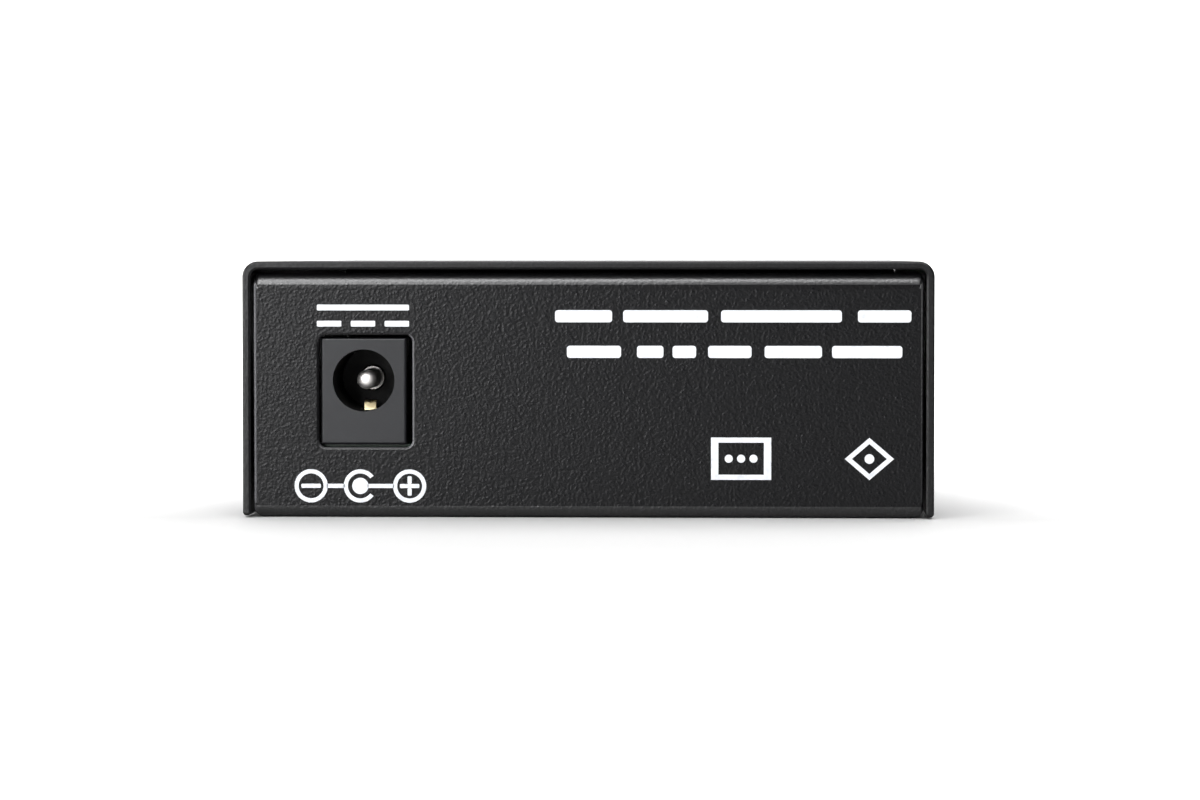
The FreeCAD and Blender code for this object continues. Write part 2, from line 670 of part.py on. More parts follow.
wall_inside = size.cover_width / 2 - size.sheet
roof_inside = size.cover_height - size.sheet
rear_panel_top = roof_inside - size.rear_top_gap
port_panel_top = roof_inside - size.port_top_gap
panel_half_width = wall_inside - size.panel_gap
panel_outside = size.cover_length / 2 - size.cover_overhang
panel_inside = panel_outside - size.sheet
base_bend_outside = size.base_bend + size.sheet
flange_outside = wall_inside - size.flange_gap
flange_inside = flange_outside - size.sheet
flange_root = flange_outside - 2 * base_bend_outside
cover_screw_y = size.cover_length / 2 - size.cover_screw_inset
thread_radius = size.screw_radius + size.screw_clearance
screw_hole_radius = size.screw_radius + size.hole_play
board_top = port_panel_top - base_bend_outside - size.lan_over - size.lan_height
board_low = board_top - size.board_thickness
board_half_length = panel_inside - size.board_gap
board_half_width = flange_inside - size.board_side_gap

jack_x = size.jack_side - wall_inside
jack_face = size.jack_recess - panel_outside
jack_wall_end = size.jack_bore_depth + size.jack_back_wall

lamp_pitch = size.lamp_holder_width + size.lamp_column_gap
lamps_width = lamp_pitch * size.lamp_column_count - size.lamp_column_gap
lamps_end = flange_inside - size.lamp_side_gap
free_width = lamps_end + flange_inside - size.fibre_width - size.lan_width - lamps_width
fibre_x = size.fibre_width / 2 + size.fibre_side_share * free_width - flange_inside
lan_x = fibre_x + (size.fibre_width + size.lan_width) / 2 + size.fibre_lan_share * free_width
lamp_columns = [
    lamps_end - lamps_width / 2 + place for place in row_places(size.lamp_column_count, lamp_pitch)
]
lamp_rows = (size.lamp_low, size.lamp_high)
port_face = panel_outside + size.port_proud

fibre_sides = (-size.fibre_width / 4, size.fibre_width / 4)
optic_bore = size.sleeve_radius + size.optic_play
header_y = size.header_inset - size.fibre_length
header_length = size.fibre_width - 2 * (size.case_wall + size.header_side_play)
header_pitch = header_length / size.module_pin_count
module_pin_places = row_places(size.module_pin_count, header_pitch)
standoff_x = board_half_width - size.standoff_side
standoff_y = board_half_length - size.standoff_end
standoff_places = (
    (-standoff_x, -standoff_y),
    (standoff_x, -standoff_y),
    (-standoff_x, port_face - size.fibre_length - size.standoff_behind_fibre),
    (standoff_x, standoff_y),
)
lan_wire_back = size.lan_length - size.shield_sheet - size.lan_insert_play
lan_channel_floor = (
    size.lan_height - size.shield_sheet - size.lan_insert_play - size.lan_channel_depth
)
lan_wire_places = row_places(size.lan_wire_count, size.lan_wire_pitch)
lamp_tip = panel_outside + size.lamp_proud
holder_front = panel_inside - size.lamp_holder_gap
transformer_y = port_face - size.lan_length - size.transformer_gap - size.transformer_depth / 2


# ---------------------------------------------------------------- housing


def make_base_chassis():
    """Floor, rear panel and port panel folded from one sheet, with side flanges that take the cover."""
    body = new_body("base_chassis")
    profile = sketch_on(body, "YZ")
    fold = panel_outside - size.fold_depth
    outline(profile, [
        (-panel_outside, 0, base_bend_outside),
        (panel_outside, 0, base_bend_outside),
        (panel_outside, port_panel_top, base_bend_outside),
        (fold, port_panel_top),
        (fold, port_panel_top - size.sheet),
        (panel_inside, port_panel_top - size.sheet, size.base_bend),
        (panel_inside, size.sheet, size.base_bend),
        (-panel_inside, size.sheet, size.base_bend),
        (-panel_inside, rear_panel_top - size.sheet, size.base_bend),
        (-fold, rear_panel_top - size.sheet),
        (-fold, rear_panel_top),
        (-panel_outside, rear_panel_top, base_bend_outside),
    ])
    pad(body, profile, 2 * panel_half_width, both=True)
    soften(body, "Chamfer", lambda edge, middle: near(abs(middle.x), panel_half_width)
           and near(abs(middle.y), panel_outside), size.rim_bevel)

    corners = sketch_on(body, "XZ")
    rectangle(corners, -size.cover_width, -size.cover_height, size.cover_width, 2 * size.cover_height)
    outline(corners, [
        (-panel_half_width, 0, size.panel_corner),
        (panel_half_width, 0, size.panel_corner),
        (panel_half_width, size.cover_height),
        (-panel_half_width, size.cover_height),
    ])
    pocket(body, corners, both=True)

    holes = sketch_on(body, "XY")
    for x, y in standoff_places:
        circle(holes, x, y, size.standoff_foot_radius + size.screw_clearance)
    pocket(body, holes, size.sheet, back=True)

    bend_start = panel_outside - base_bend_outside
    strip = sketch_on(body, "XY")
    rectangle(strip, flange_root, -bend_start, size.cover_width / 2, bend_start)
    trimmed = pocket(body, strip, size.sheet, back=True)
    flange_profile = sketch_on(body, "XZ")
    outline(flange_profile, [
        (flange_root, 0),
        (flange_outside, 0, base_bend_outside),
        (flange_outside, size.flange_height),
        (flange_inside, size.flange_height),
        (flange_inside, size.sheet, size.base_bend),
        (flange_root, size.sheet),
    ])
    flange = pad(body, flange_profile, 2 * (bend_start - size.relief), both=True)
    collars = sketch_on(body, "YZ", (flange_inside, 0, 0))
    threads = sketch_on(body, "YZ", (flange_outside, 0, 0))
    for end in (-cover_screw_y, cover_screw_y):
        circle(collars, end, size.cover_screw_height, thread_radius + size.sheet)
        circle(threads, end, size.cover_screw_height, thread_radius)
    collar = pad(body, collars, size.thread_collar, back=True)
    thread = pocket(body, threads, size.sheet + size.thread_collar)
    mirror(body, [trimmed, flange, collar, thread], "YZ")

    rear = sketch_on(body, "XZ", (0, -panel_outside, 0))
    middle = jack_x + size.jack_cutout_shift
    reach = size.jack_width / 2 + size.jack_cutout_side
    rectangle(
        rear, middle - reach, board_top - size.jack_cutout_over, middle + reach,
        board_top + size.jack_height + size.jack_cutout_over, size.jack_cutout_corner,
    )
    pocket(body, rear, size.sheet)

    front = sketch_on(body, "XZ", (0, panel_inside, 0))
    play = size.port_cutout_play
    for middle, width, height in (
        (lan_x, size.lan_width, size.lan_height),
        (fibre_x, size.fibre_width, size.fibre_height),
    ):
        reach = width / 2 + play
        rectangle(front, middle - reach, board_top - play, middle + reach, board_top + height + play)
    for x in lamp_columns:
        for z in lamp_rows:
            circle(front, x, board_top + z, size.lamp_radius + size.lamp_hole_play)
    pocket(body, front, size.sheet)

    lamp_hole_width = 2 * (size.lamp_radius + size.lamp_hole_play)

    lowest, highest = number_of(board_low), number_of(board_top + size.lan_height + size.sheet)

    def socket_edge(edge, middle):
        in_panel = near(abs(middle.y), panel_outside) and abs(middle.x) < number_of(flange_inside)
        return in_panel and lowest < middle.z < highest and not near(edge.BoundBox.XLength, lamp_hole_width)

    soften(body, "Chamfer", socket_edge, size.rim_bevel)
    return body


def make_top_cover():
    """Roof and two walls folded from one sheet, with vents and four countersunk dimples."""
    body = new_body("top_cover")
    half = size.cover_width / 2
    profile = sketch_on(body, "XZ")
    outline(profile, [
        (half, size.cover_lift, size.wall_end_round),
        (half, size.cover_height, size.cover_bend + size.sheet),
        (-half, size.cover_height, size.cover_bend + size.sheet),
        (-half, size.cover_lift, size.wall_end_round),
        (-wall_inside, size.cover_lift, size.wall_end_round),
        (-wall_inside, roof_inside, size.cover_bend),
        (wall_inside, roof_inside, size.cover_bend),
        (wall_inside, size.cover_lift, size.wall_end_round),
    ])
    pad(body, profile, size.cover_length, both=True)
    rim_y = size.cover_length / 2
    soften(body, "Chamfer", lambda edge, middle: near(abs(middle.y), rim_y), size.rim_bevel)

    vents = sketch_on(body, "YZ")
    slot(
        vents, -size.vent_pitch * (size.vent_count - 1) / 2,
        size.cover_height - size.vent_drop - size.vent_height / 2, size.vent_width, size.vent_height,
    )
    first_vent = pocket(body, vents, both=True)
    row_of(body, first_vent, "Y", size.vent_count, size.vent_pitch)

    sunk = size.sink_head_radius + size.dimple_play
    hole_end = half - sunk + screw_hole_radius
    rise = wall_inside - flange_outside
    for side in (1, -1):
        for end in (cover_screw_y, -cover_screw_y):
            place = (0, end, size.cover_screw_height)
            boss = sketch_on(body, "XY", place)
            polygon(boss, [
                (flange_outside * side, 0),
                (half * side, 0),
                (half * side, sunk + size.sheet),
                (wall_inside * side, sunk + size.sheet),
                (flange_outside * side, sunk + size.sheet - rise),
            ])
            turn(body, "Revolution", boss, "H")
            countersink = sketch_on(body, "XY", place)
            polygon(countersink, [
                (flange_outside * side, 0),
                (half * side, 0),
                (half * side, sunk),
                (hole_end * side, screw_hole_radius),
                (flange_outside * side, screw_hole_radius),
            ])
            turn(body, "Groove", countersink, "H")
    return body


# ---------------------------------------------------------------- fasteners


def cross_recess(depth):
    """The cross-shaped driver recess, cut down from Z = 0."""
    arm, reach = size.recess_arm / 2, size.recess_reach
    one = block((-arm, -reach, -depth), (arm, reach, depth))
    other = block((-reach, -arm, -depth), (reach, arm, depth))
    return one.fuse(other)


def make_cover_screws():
    """Countersunk screws, heads flush with the cover's walls."""
    neck = size.screw_radius - size.sink_head_radius
    screw = lathe([
        (0, 0), (size.sink_head_radius, 0), (size.screw_radius, neck),
        (size.screw_radius, -size.cover_screw_length), (0, -size.cover_screw_length),
    ]).cut(cross_recess(-neck))
    half = number_of(size.cover_width) / 2
    screws = []
    for side in (1, -1):
        for end in (1, -1):
            turned = screw.copy()
            turned.rotate(FreeCAD.Vector(0, 0, 0), FreeCAD.Vector(0, 1, 0), 90 * side)
            turned.translate(FreeCAD.Vector(
                half * side, number_of(cover_screw_y) * end, number_of(size.cover_screw_height),
            ))
            screws.append(turned)
    return part_feature("cover_screws", Part.makeCompound(screws))


def make_board_standoffs():
    """Threaded standoffs, each with its foot clinched into the floor."""
    standoff = lathe([
        (thread_radius, 0), (size.standoff_foot_radius, 0), (size.standoff_foot_radius, size.sheet),
        (size.standoff_radius, size.sheet), (size.standoff_radius, board_low), (thread_radius, board_low),
    ])
    return copies("board_standoffs", standoff, [(x, y, 0) for x, y in standoff_places])


def make_board_screws():
    """Pan-head screws that hold the circuit board on its standoffs."""
    tip = size.sheet + size.board_screw_short - board_top
    screw = lathe([
        (0, tip), (size.screw_radius, tip), (size.screw_radius, 0), (size.pan_head_radius, 0),
        (size.pan_head_radius, size.pan_head_height / 2), (size.pan_head_top, size.pan_head_height),
        (0, size.pan_head_height),
    ])
    recess = cross_recess(size.pan_recess)
    recess.translate(FreeCAD.Vector(0, 0, number_of(size.pan_head_height)))
    return copies("board_screws", screw.cut(recess), [(x, y, board_top) for x, y in standoff_places])


# ---------------------------------------------------------------- power jack


def make_jack_housing():
    """Moulded body of the power jack: square face, arched barrel, plug bore, slot for the spring."""
    body = new_body("jack_housing", (jack_x, jack_face, board_top))
    half = size.jack_width / 2
    face = sketch_on(body, "XZ")
    rectangle(face, -half, 0, half, size.jack_height)
    pad(body, face, size.jack_face_depth, back=True)
    soften(body, "Fillet", lambda edge, middle: near(middle.y, 0), size.jack_edge_round)
    barrel = sketch_on(body, "XZ", (0, size.jack_face_depth, 0))
    arch(barrel, size.jack_barrel_width / 2, size.jack_axis)
    pad(body, barrel, size.jack_length - size.jack_face_depth, back=True)

    bore = sketch_on(body, "XZ")
    circle(bore, 0, size.jack_axis, size.jack_bore_radius)
    pocket(body, bore, size.jack_bore_depth)
    shank = sketch_on(body, "XZ", (0, size.jack_bore_depth, 0))
    circle(shank, 0, size.jack_axis, size.jack_rivet_radius + size.jack_rivet_play)
    pocket(body, shank, size.jack_back_wall)
    back = sketch_on(body, "XZ", (0, jack_wall_end, 0))
    arch(back, size.jack_barrel_width / 2 - size.jack_back_skirt, size.jack_axis)
    pocket(body, back, size.jack_length - jack_wall_end)

    spring_slot = sketch_on(body, "XY")
    rectangle(
        spring_slot, -size.spring_slot_width / 2, size.spring_slot_start,
        size.spring_slot_width / 2, size.jack_bore_depth,
    )
    pocket(body, spring_slot, size.jack_axis, back=True)
    return body


def make_jack_centre_pin():
    """Turned pin with a collar in front of the back wall and a rivet head behind it."""
    body = new_body("jack_centre_pin", (jack_x, jack_face, board_top + size.jack_axis))
    profile = sketch_on(body, "YZ")
    collar = size.jack_bore_depth - size.jack_collar_length
    rivet = jack_wall_end + size.contact_sheet
    end = rivet + size.jack_rivet_head_length
    outline(profile, [
        (size.jack_pin_recess, 0),
        (size.jack_pin_recess, size.jack_pin_radius, size.jack_pin_round),
        (collar, size.jack_pin_radius),
        (collar, size.jack_collar_radius),
        (size.jack_bore_depth, size.jack_collar_radius),
        (size.jack_bore_depth, size.jack_rivet_radius),
        (rivet, size.jack_rivet_radius),
        (rivet, size.jack_rivet_head),
        (end, size.jack_rivet_head),
        (end, 0),
    ])
    turn(body, "Revolution", profile, "H")
    soften(body, "Chamfer", lambda edge, middle: near(middle.y, collar)
           and near(edge.BoundBox.XLength, 2 * size.jack_collar_radius), size.jack_collar_chamfer)
    return body


def make_jack_rear_contact():
    """Strip riveted to the pin behind the back wall, its tail through the board."""
    body = new_body("jack_rear_contact", (jack_x, jack_face + jack_wall_end, board_top))
    strip = sketch_on(body, "XZ")
    half = size.rear_contact_width / 2
    rectangle(strip, -half, -size.tail_length, half, size.jack_axis + size.rear_contact_over)
    circle(strip, 0, size.jack_axis, size.jack_rivet_radius + size.jack_rivet_play)
    pad(body, strip, size.contact_sheet, back=True)
    return body


def make_jack_springs():
    """The spring that presses on a plug's sleeve, and the switch contact its free end rests on."""
    half = size.contact_sheet / 2
    bore_floor = size.jack_axis - size.jack_bore_radius
    crest = bore_floor + size.spring_reach - half
    leg = size.spring_slot_start + half
    rest = size.switch_shelf + size.contact_sheet
    place = (jack_x, jack_face, board_top)
    spring = bent_strip(
        [
            (leg, -size.tail_length),
            (leg, size.spring_shelf),
            (size.spring_crest - size.spring_rise, size.spring_shelf),
            (size.spring_crest, crest),
            (size.spring_crest + size.spring_fall, rest),
            (size.jack_bore_depth - size.contact_sheet - half, rest),
        ],
        size.contact_sheet, size.spring_width, size.spring_bend,
    )
    back = size.jack_bore_depth - half
    switch = bent_strip(
        [
            (back, -size.tail_length),
            (back, size.switch_shelf),
            (back - size.switch_reach, size.switch_shelf),
        ],
        size.contact_sheet, size.spring_width, size.contact_sheet,
    )
    part_feature("jack_sleeve_spring", spring, place)
    part_feature("jack_switch_contact", switch, place)


# ---------------------------------------------------------------- twisted-pair jack


def plug_outline(sketch, edge):
    """The opening for a modular plug: a wide rectangle over a latch notch, edge wider all round."""
    wide, narrow = size.lan_plug_width / 2 + edge, size.lan_latch_width / 2 + edge
    low, high, latch = size.lan_plug_low - edge, size.lan_plug_high + edge, size.lan_latch_low - edge
    outline(sketch, [
        (-narrow, latch), (narrow, latch), (narrow, low), (wide, low),
        (wide, high), (-wide, high), (-wide, low), (-narrow, low),
    ])


def make_lan_shield():
    """Steel shell of the twisted-pair jack, open below, with a leg through the board on each side."""
    body = new_body("lan_shield", (lan_x, port_face, board_top))
    half, wall = size.lan_width / 2, size.shield_sheet
    shell = sketch_on(body, "XZ")
    rectangle(shell, -half, 0, half, size.lan_height)
    pad(body, shell, size.lan_length)
    soften(body, "Fillet", lambda edge, middle: near(middle.z, size.lan_height)
           or (near(middle.y, 0) and middle.z > 1) and near(abs(middle.x), half), wall)
    inside = sketch_on(body, "XZ", (0, -wall, 0))
    rectangle(inside, wall - half, 0, half - wall, size.lan_height - wall)
    pocket(body, inside, size.lan_length - 2 * wall, back=True)
    window = sketch_on(body, "XZ")
    plug_outline(window, size.lan_insert_play)
    pocket(body, window, wall, back=True)
    legs = sketch_on(body, "XY")
    middle, reach = -size.lan_leg_back, size.lan_leg_width / 2
    rectangle(legs, -half, middle - reach, wall - half, middle + reach)
    rectangle(legs, half - wall, middle - reach, half, middle + reach)
    pad(body, legs, size.tail_length, back=True)
    return body


def make_lan_insert():
    """Moulded insert with the plug opening and a channel for each contact wire."""
    body = new_body("lan_insert", (lan_x, port_face, board_top))
    skin = size.shield_sheet + size.lan_insert_play
    half, top, back = size.lan_width / 2 - skin, size.lan_height - skin, lan_wire_back
    shell = sketch_on(body, "XZ", (0, -skin, 0))
    rectangle(shell, -half, 0, half, top)
    pad(body, shell, back - skin)
    opening = sketch_on(body, "XZ", (0, -skin, 0))
    plug_outline(opening, 0)
    pocket(body, opening, size.lan_plug_depth, back=True)

    start = lan_wire_places[0]
    channel = sketch_on(body, "YZ", (start, 0, 0))
    front, comb = -skin - size.lan_channel_start, -size.lan_comb_depth
    rear = size.lan_channel_depth - back
    outline(channel, [
        (front, size.lan_plug_high), (front, top), (-back, top), (-back, 0), (rear, 0),
        (rear, lan_channel_floor, size.lan_wire_bend), (comb, lan_channel_floor),
        (comb, size.lan_plug_high),
    ])
    first = pocket(body, channel, size.lan_channel, both=True)
    row_of(body, first, "X", size.lan_wire_count, size.lan_wire_pitch)
    return body


def make_lan_wires():
    """Contact wires: up the insert's back, along its top, round and down into the plug opening."""
    half = size.lan_wire / 2
    rear = size.lan_channel_depth - lan_wire_back - half
    run = lan_channel_floor + half
    turning = -size.shield_sheet
    path = [
        (rear, -size.tail_length), (rear, run), (turning, run),
        (-size.lan_wire_reach, run - size.lan_wire_drop),
    ]
    wire = bent_strip(path, size.lan_wire, size.lan_wire, size.lan_wire_bend)
    for number, x in enumerate(lan_wire_places, start=1):
        part_feature("lan_wire_%d" % number, wire, (lan_x + x, port_face, board_top))


# ---------------------------------------------------------------- duplex fibre transceiver


def make_fibre_receptacle():
    """Moulded front of the transceiver with two keyed openings and a bore behind each."""
    body = new_body("fibre_receptacle", (fibre_x, port_face, board_top))
    half = size.fibre_width / 2
    shell = sketch_on(body, "XZ")
    rectangle(shell, -half, 0, half, size.fibre_height)
    pad(body, shell, size.receptacle_length)
    openings = sketch_on(body, "XZ")
    wide, key = size.plug_width / 2, size.key_width / 2
    low, high = size.fibre_axis - size.plug_height / 2, size.fibre_axis + size.plug_height / 2
    for x in fibre_sides:
        outline(openings, [
            (x - wide, low), (x + wide, low), (x + wide, high), (x + key, high),
            (x + key, high + size.key_height), (x - key, high + size.key_height),
            (x - key, high), (x - wide, high),
        ])
    pocket(body, openings, size.plug_depth, back=True)
    bores = sketch_on(body, "XZ", (0, -size.plug_depth, 0))
    for x in fibre_sides:
        circle(bores, x, size.fibre_axis, optic_bore)
    pocket(body, bores, back=True)
    soften(body, "Chamfer", lambda edge, middle: near(middle.y, 0), size.rim_bevel)
    return body


def make_latch_clip(number, x):
    """Moulded clip at the bottom of one opening: ferrule tube and two hooked arms."""
    body = new_body("latch_clip_%d" % number, (fibre_x + x, port_face, board_top + size.fibre_axis))
    front = size.clip_plate - size.plug_depth
    wide, tall = size.plug_width / 2 - size.clip_play, size.plug_height / 2 - size.clip_play
    plate = sketch_on(body, "XZ", (0, front, 0))
    rectangle(plate, -wide, -tall, wide, tall)
    pad(body, plate, size.clip_plate)
    tube = sketch_on(body, "XZ", (0, front, 0))
    circle(tube, 0, 0, size.clip_tube_radius)
    pad(body, tube, size.clip_tube_length, back=True)
    arm_end = front + size.clip_arm_length
    for side in (1, -1):
        arm = sketch_on(body, "XY", (0, 0, -size.clip_arm_height / 2))
        inner = wide - size.clip_arm
        polygon(arm, [
            (wide * side, front), (wide * side, arm_end), (inner * side, arm_end),
            ((inner - size.clip_hook) * side, arm_end - size.clip_arm),
            (inner * side, arm_end - size.clip_arm), (inner * side, front),
        ])
        pad(body, arm, size.clip_arm_height)
    bore = sketch_on(body, "XZ")
    circle(bore, 0, 0, optic_bore)
    pocket(body, bore, both=True)
    return body


def make_optical_sleeve(number, x):
    """Sleeve that lines a plug's ferrule up with the optical can behind it."""
    place = (fibre_x + x, port_face - size.receptacle_length, board_top + size.fibre_axis)
    body = new_body("optical_sleeve_%d" % number, place)
    ring = sketch_on(body, "XZ")
    circle(ring, 0, 0, size.sleeve_radius)
    circle(ring, 0, 0, size.sleeve_bore)
    inside = size.receptacle_length - size.plug_depth
    length = inside + size.clip_plate + size.clip_tube_length - size.clip_hook
    pad(body, ring, length, back=True)
    return body


def make_optical_can(name, x):
    """Metal can of the light source or the receiver, its leads laid on the transceiver's board."""
    place = (fibre_x + x, port_face - size.receptacle_length, board_top)
    body = new_body(name, place)
    can = sketch_on(body, "XZ")
    circle(can, 0, size.fibre_axis, size.can_radius)
    pad(body, can, size.can_length)
    leads = sketch_on(body, "XZ", (0, -size.can_length, 0))
    low = size.module_board_height + size.module_board
    for side in (-size.can_lead_pitch / 2, size.can_lead_pitch / 2):
        half = size.can_lead / 2
        rectangle(leads, side - half, low, side + half, low + size.can_lead)
    pad(body, leads, size.can_lead_length)
    return body


def make_fibre_case():
    """Case over the transceiver's optics, open below and towards the receptacle."""
    place = (fibre_x, port_face - size.receptacle_length, board_top)
    body = new_body("fibre_case", place)
    half, length = size.fibre_width / 2, size.fibre_length - size.receptacle_length
    shell = sketch_on(body, "XZ")
    rectangle(shell, -half, 0, half, size.case_height)
    pad(body, shell, length)
    soften(body, "Fillet", lambda edge, middle: near(middle.z, size.case_height) and middle.y < -1
           or near(middle.y, -length) and near(abs(middle.x), half), size.case_wall / 2)
    inside = sketch_on(body, "XZ")
    wide = half - size.case_wall
    rectangle(inside, -wide, 0, wide, size.case_height - size.case_wall)
    pocket(body, inside, length - size.case_wall, back=True)
    return body


def make_transceiver_board():
    """The transceiver's own board on its header strip, with the pins that go through both boards."""
    place = (fibre_x, port_face, board_top)
    wide = size.fibre_width / 2 - size.case_wall - size.hole_play
    back = size.case_wall + size.hole_play - size.fibre_length
    front = -size.receptacle_length - size.can_length - size.hole_play

    board = new_body("module_board", place)
    plan = sketch_on(board, "XY", (0, 0, size.module_board_height))
    rectangle(plan, -wide, back, wide, front)
    pad(board, plan, size.module_board)

    header = new_body("module_header", place)
    strip = sketch_on(header, "XY")
    end, reach = header_length / 2, size.header_width / 2
    rectangle(strip, -end, header_y - reach, end, header_y + reach)
    pad(header, strip, size.module_board_height)
    for body in (board, header):
        holes = sketch_on(body, "XY")
        slit(holes, module_pin_places[0], header_y, size.module_pin, size.module_pin, size.pin_play)
        row_of(body, pocket(body, holes, back=True), "X", size.module_pin_count, header_pitch)

    half = size.module_pin / 2
    top = size.module_board_height + size.module_board + size.pin_over
    pin = block((-half, -half, -size.tail_length), (half, half, top))
    copies("module_pins", pin, [(fibre_x + x, port_face + header_y, board_top) for x in module_pin_places])


# ---------------------------------------------------------------- indicator lamps


def make_lamp_holder(number, x):
    """Moulded block that carries two lamps one above the other."""
    body = new_body("lamp_holder_%d" % number, (x, holder_front, board_top))
    half = size.lamp_holder_width / 2
    shell = sketch_on(body, "XZ")
    rectangle(shell, -half, 0, half, size.lamp_holder_height)
    pad(body, shell, size.lamp_holder_depth)
    holes = sketch_on(body, "XZ")
    for z in lamp_rows:
        circle(holes, 0, z, size.lamp_radius + size.lamp_play)
    pocket(body, holes, back=True)
    seats = sketch_on(body, "XZ", (0, -size.lamp_holder_depth, 0))
    seat = lamp_tip - size.lamp_length + size.lamp_rim_length
    for z in lamp_rows:
        circle(seats, 0, z, size.lamp_rim_radius + size.lamp_play)
    pocket(body, seats, seat - (holder_front - size.lamp_holder_depth))
    return body


def make_lamp(number, x, z, lead_back):
    """A lamp with a domed tip and a rim, its two leads bent down through the board."""
    radius, rim = size.lamp_radius, size.lamp_rim_radius
    rim_front = size.lamp_rim_length - size.lamp_length
    lamp = lathe([
        (0, -size.lamp_length), (rim, -size.lamp_length), (rim, rim_front), (radius, rim_front),
        (radius, 0), (0, 0),
    ])
    lamp.rotate(FreeCAD.Vector(0, 0, 0), FreeCAD.Vector(1, 0, 0), -90)
    tip = [edge for edge in lamp.Edges if near(edge.BoundBox.YMin, 0) and edge.BoundBox.XLength > 0]
    lamp = lamp.makeFillet(number_of(size.lamp_dome), tip)
    bend = -size.lamp_length - lead_back
    lead = bent_strip(
        [(rim_front, 0), (bend, 0), (bend, -z - size.tail_length)],
        size.lamp_lead, size.lamp_lead, size.lamp_lead,
    )
    for side in (1, -1):
        copy = lead.copy()
        copy.translate(FreeCAD.Vector(side * number_of(size.lamp_lead_pitch) / 2, 0, 0))
        lamp = lamp.fuse(copy)
    part_feature("lamp_%d" % number, lamp, (x, lamp_tip, board_top + z))


# ---------------------------------------------------------------- circuit board


def make_main_board():
    """The circuit board, with a hole for each screw, tail and lead."""
    body = new_body("main_board", (0, 0, board_low))
    plan = sketch_on(body, "XY")
    rectangle(
        plan, -board_half_width, -board_half_length, board_half_width, board_half_length,
        size.board_corner,
    )
    pad(body, plan, size.board_thickness)

    screw_holes = sketch_on(body, "XY")
    for x, y in standoff_places:
        circle(screw_holes, x, y, screw_hole_radius)
    pocket(body, screw_holes, size.board_thickness, back=True)

    slits = sketch_on(body, "XY")
    half_sheet = size.contact_sheet / 2
    tails = (
        (size.spring_slot_start + half_sheet, size.spring_width),
        (size.jack_bore_depth - half_sheet, size.spring_width),
        (jack_wall_end + half_sheet, size.rear_contact_width),
    )
    for depth, width in tails:
        slit(slits, jack_x, jack_face + depth, width, size.contact_sheet, size.hole_play)
    for side in (-1, 1):
        x = lan_x + (size.lan_width - size.shield_sheet) / 2 * side
        leg_y = port_face - size.lan_leg_back
        slit(slits, x, leg_y, size.shield_sheet, size.lan_leg_width, size.hole_play)
    pocket(body, slits, size.board_thickness, back=True)

    wire_y = port_face + size.lan_channel_depth - lan_wire_back - size.lan_wire / 2
    lamp_leads = [
        (lamp_columns[0] + side, lamp_tip - size.lamp_length - back)
        for back in (size.lamp_lead_low, size.lamp_lead_high)
        for side in (-size.lamp_lead_pitch / 2, size.lamp_lead_pitch / 2)
    ]
    for places, thickness, count, pitch in (
        ([(lan_x + lan_wire_places[0], wire_y)], size.lan_wire, size.lan_wire_count, size.lan_wire_pitch),
        ([(fibre_x + module_pin_places[0], port_face + header_y)], size.module_pin,
         size.module_pin_count, header_pitch),
        (lamp_leads, size.lamp_lead, size.lamp_column_count, lamp_pitch),
    ):
        holes = sketch_on(body, "XY")
        for x, y in places:
            slit(holes, x, y, thickness, thickness, size.hole_play)
        first = pocket(body, holes, size.board_thickness, back=True)
        row_of(body, first, "X", count, pitch)
    return body


def slit(sketch, x, y, width, depth, play):
    """A rectangular hole with some play all round a flat tail or a square pin."""
    reach_x, reach_y = width / 2 + play, depth / 2 + play
    rectangle(sketch, x - reach_x, y - reach_y, x + reach_x, y + reach_y)


def gull_lead(width, height):
    """A chip's lead in the YZ plane, out of its package at Y = 0 and down to a foot at Z = 0."""
    sheet_, foot = number_of(size.lead_sheet), number_of(size.lead_foot)
    reach, top = number_of(size.lead_reach), number_of(height)
    knee = reach - foot
    corners = [
        (0, top), (knee, top), (knee, sheet_), (reach, sheet_), (reach, 0),
        (knee - sheet_, 0), (knee - sheet_, top - sheet_), (0, top - sheet_),
    ]
    points = [FreeCAD.Vector(-number_of(width) / 2, y, z) for y, z in corners]
    outline_ = Part.makePolygon(points + points[:1])
    return Part.Face(outline_).extrude(FreeCAD.Vector(number_of(width), 0, 0))


def make_chip(name, place, length, width, height, leads):
    """A moulded package with rows of leads: leads is (count, pitch, width, all four sides or two)."""
    x, y = place
    body = new_body(name, (x, y, board_top + size.package_lift))
    plan = sketch_on(body, "XY")
    rectangle(plan, -length / 2, -width / 2, length / 2, width / 2)
    pad(body, plan, height)
    soften(body, "Chamfer", lambda edge, middle: near(middle.z, height), size.package_chamfer)

    count, pitch, lead_width, all_sides = leads
    lead = gull_lead(lead_width, size.package_lift + height / 2)
    group = []
    for angle in (0, 90, 180, 270) if all_sides else (0, 180):
        reach = number_of(width if angle % 180 == 0 else length) / 2
        for x_place in row_places(count, pitch):
            copy = lead.copy()
            copy.translate(FreeCAD.Vector(number_of(x_place), reach, 0))
            copy.rotate(FreeCAD.Vector(0, 0, 0), FreeCAD.Vector(0, 0, 1), angle)
            group.append(copy)
    part_feature(name + "_leads", Part.makeCompound(group), (x, y, board_top))


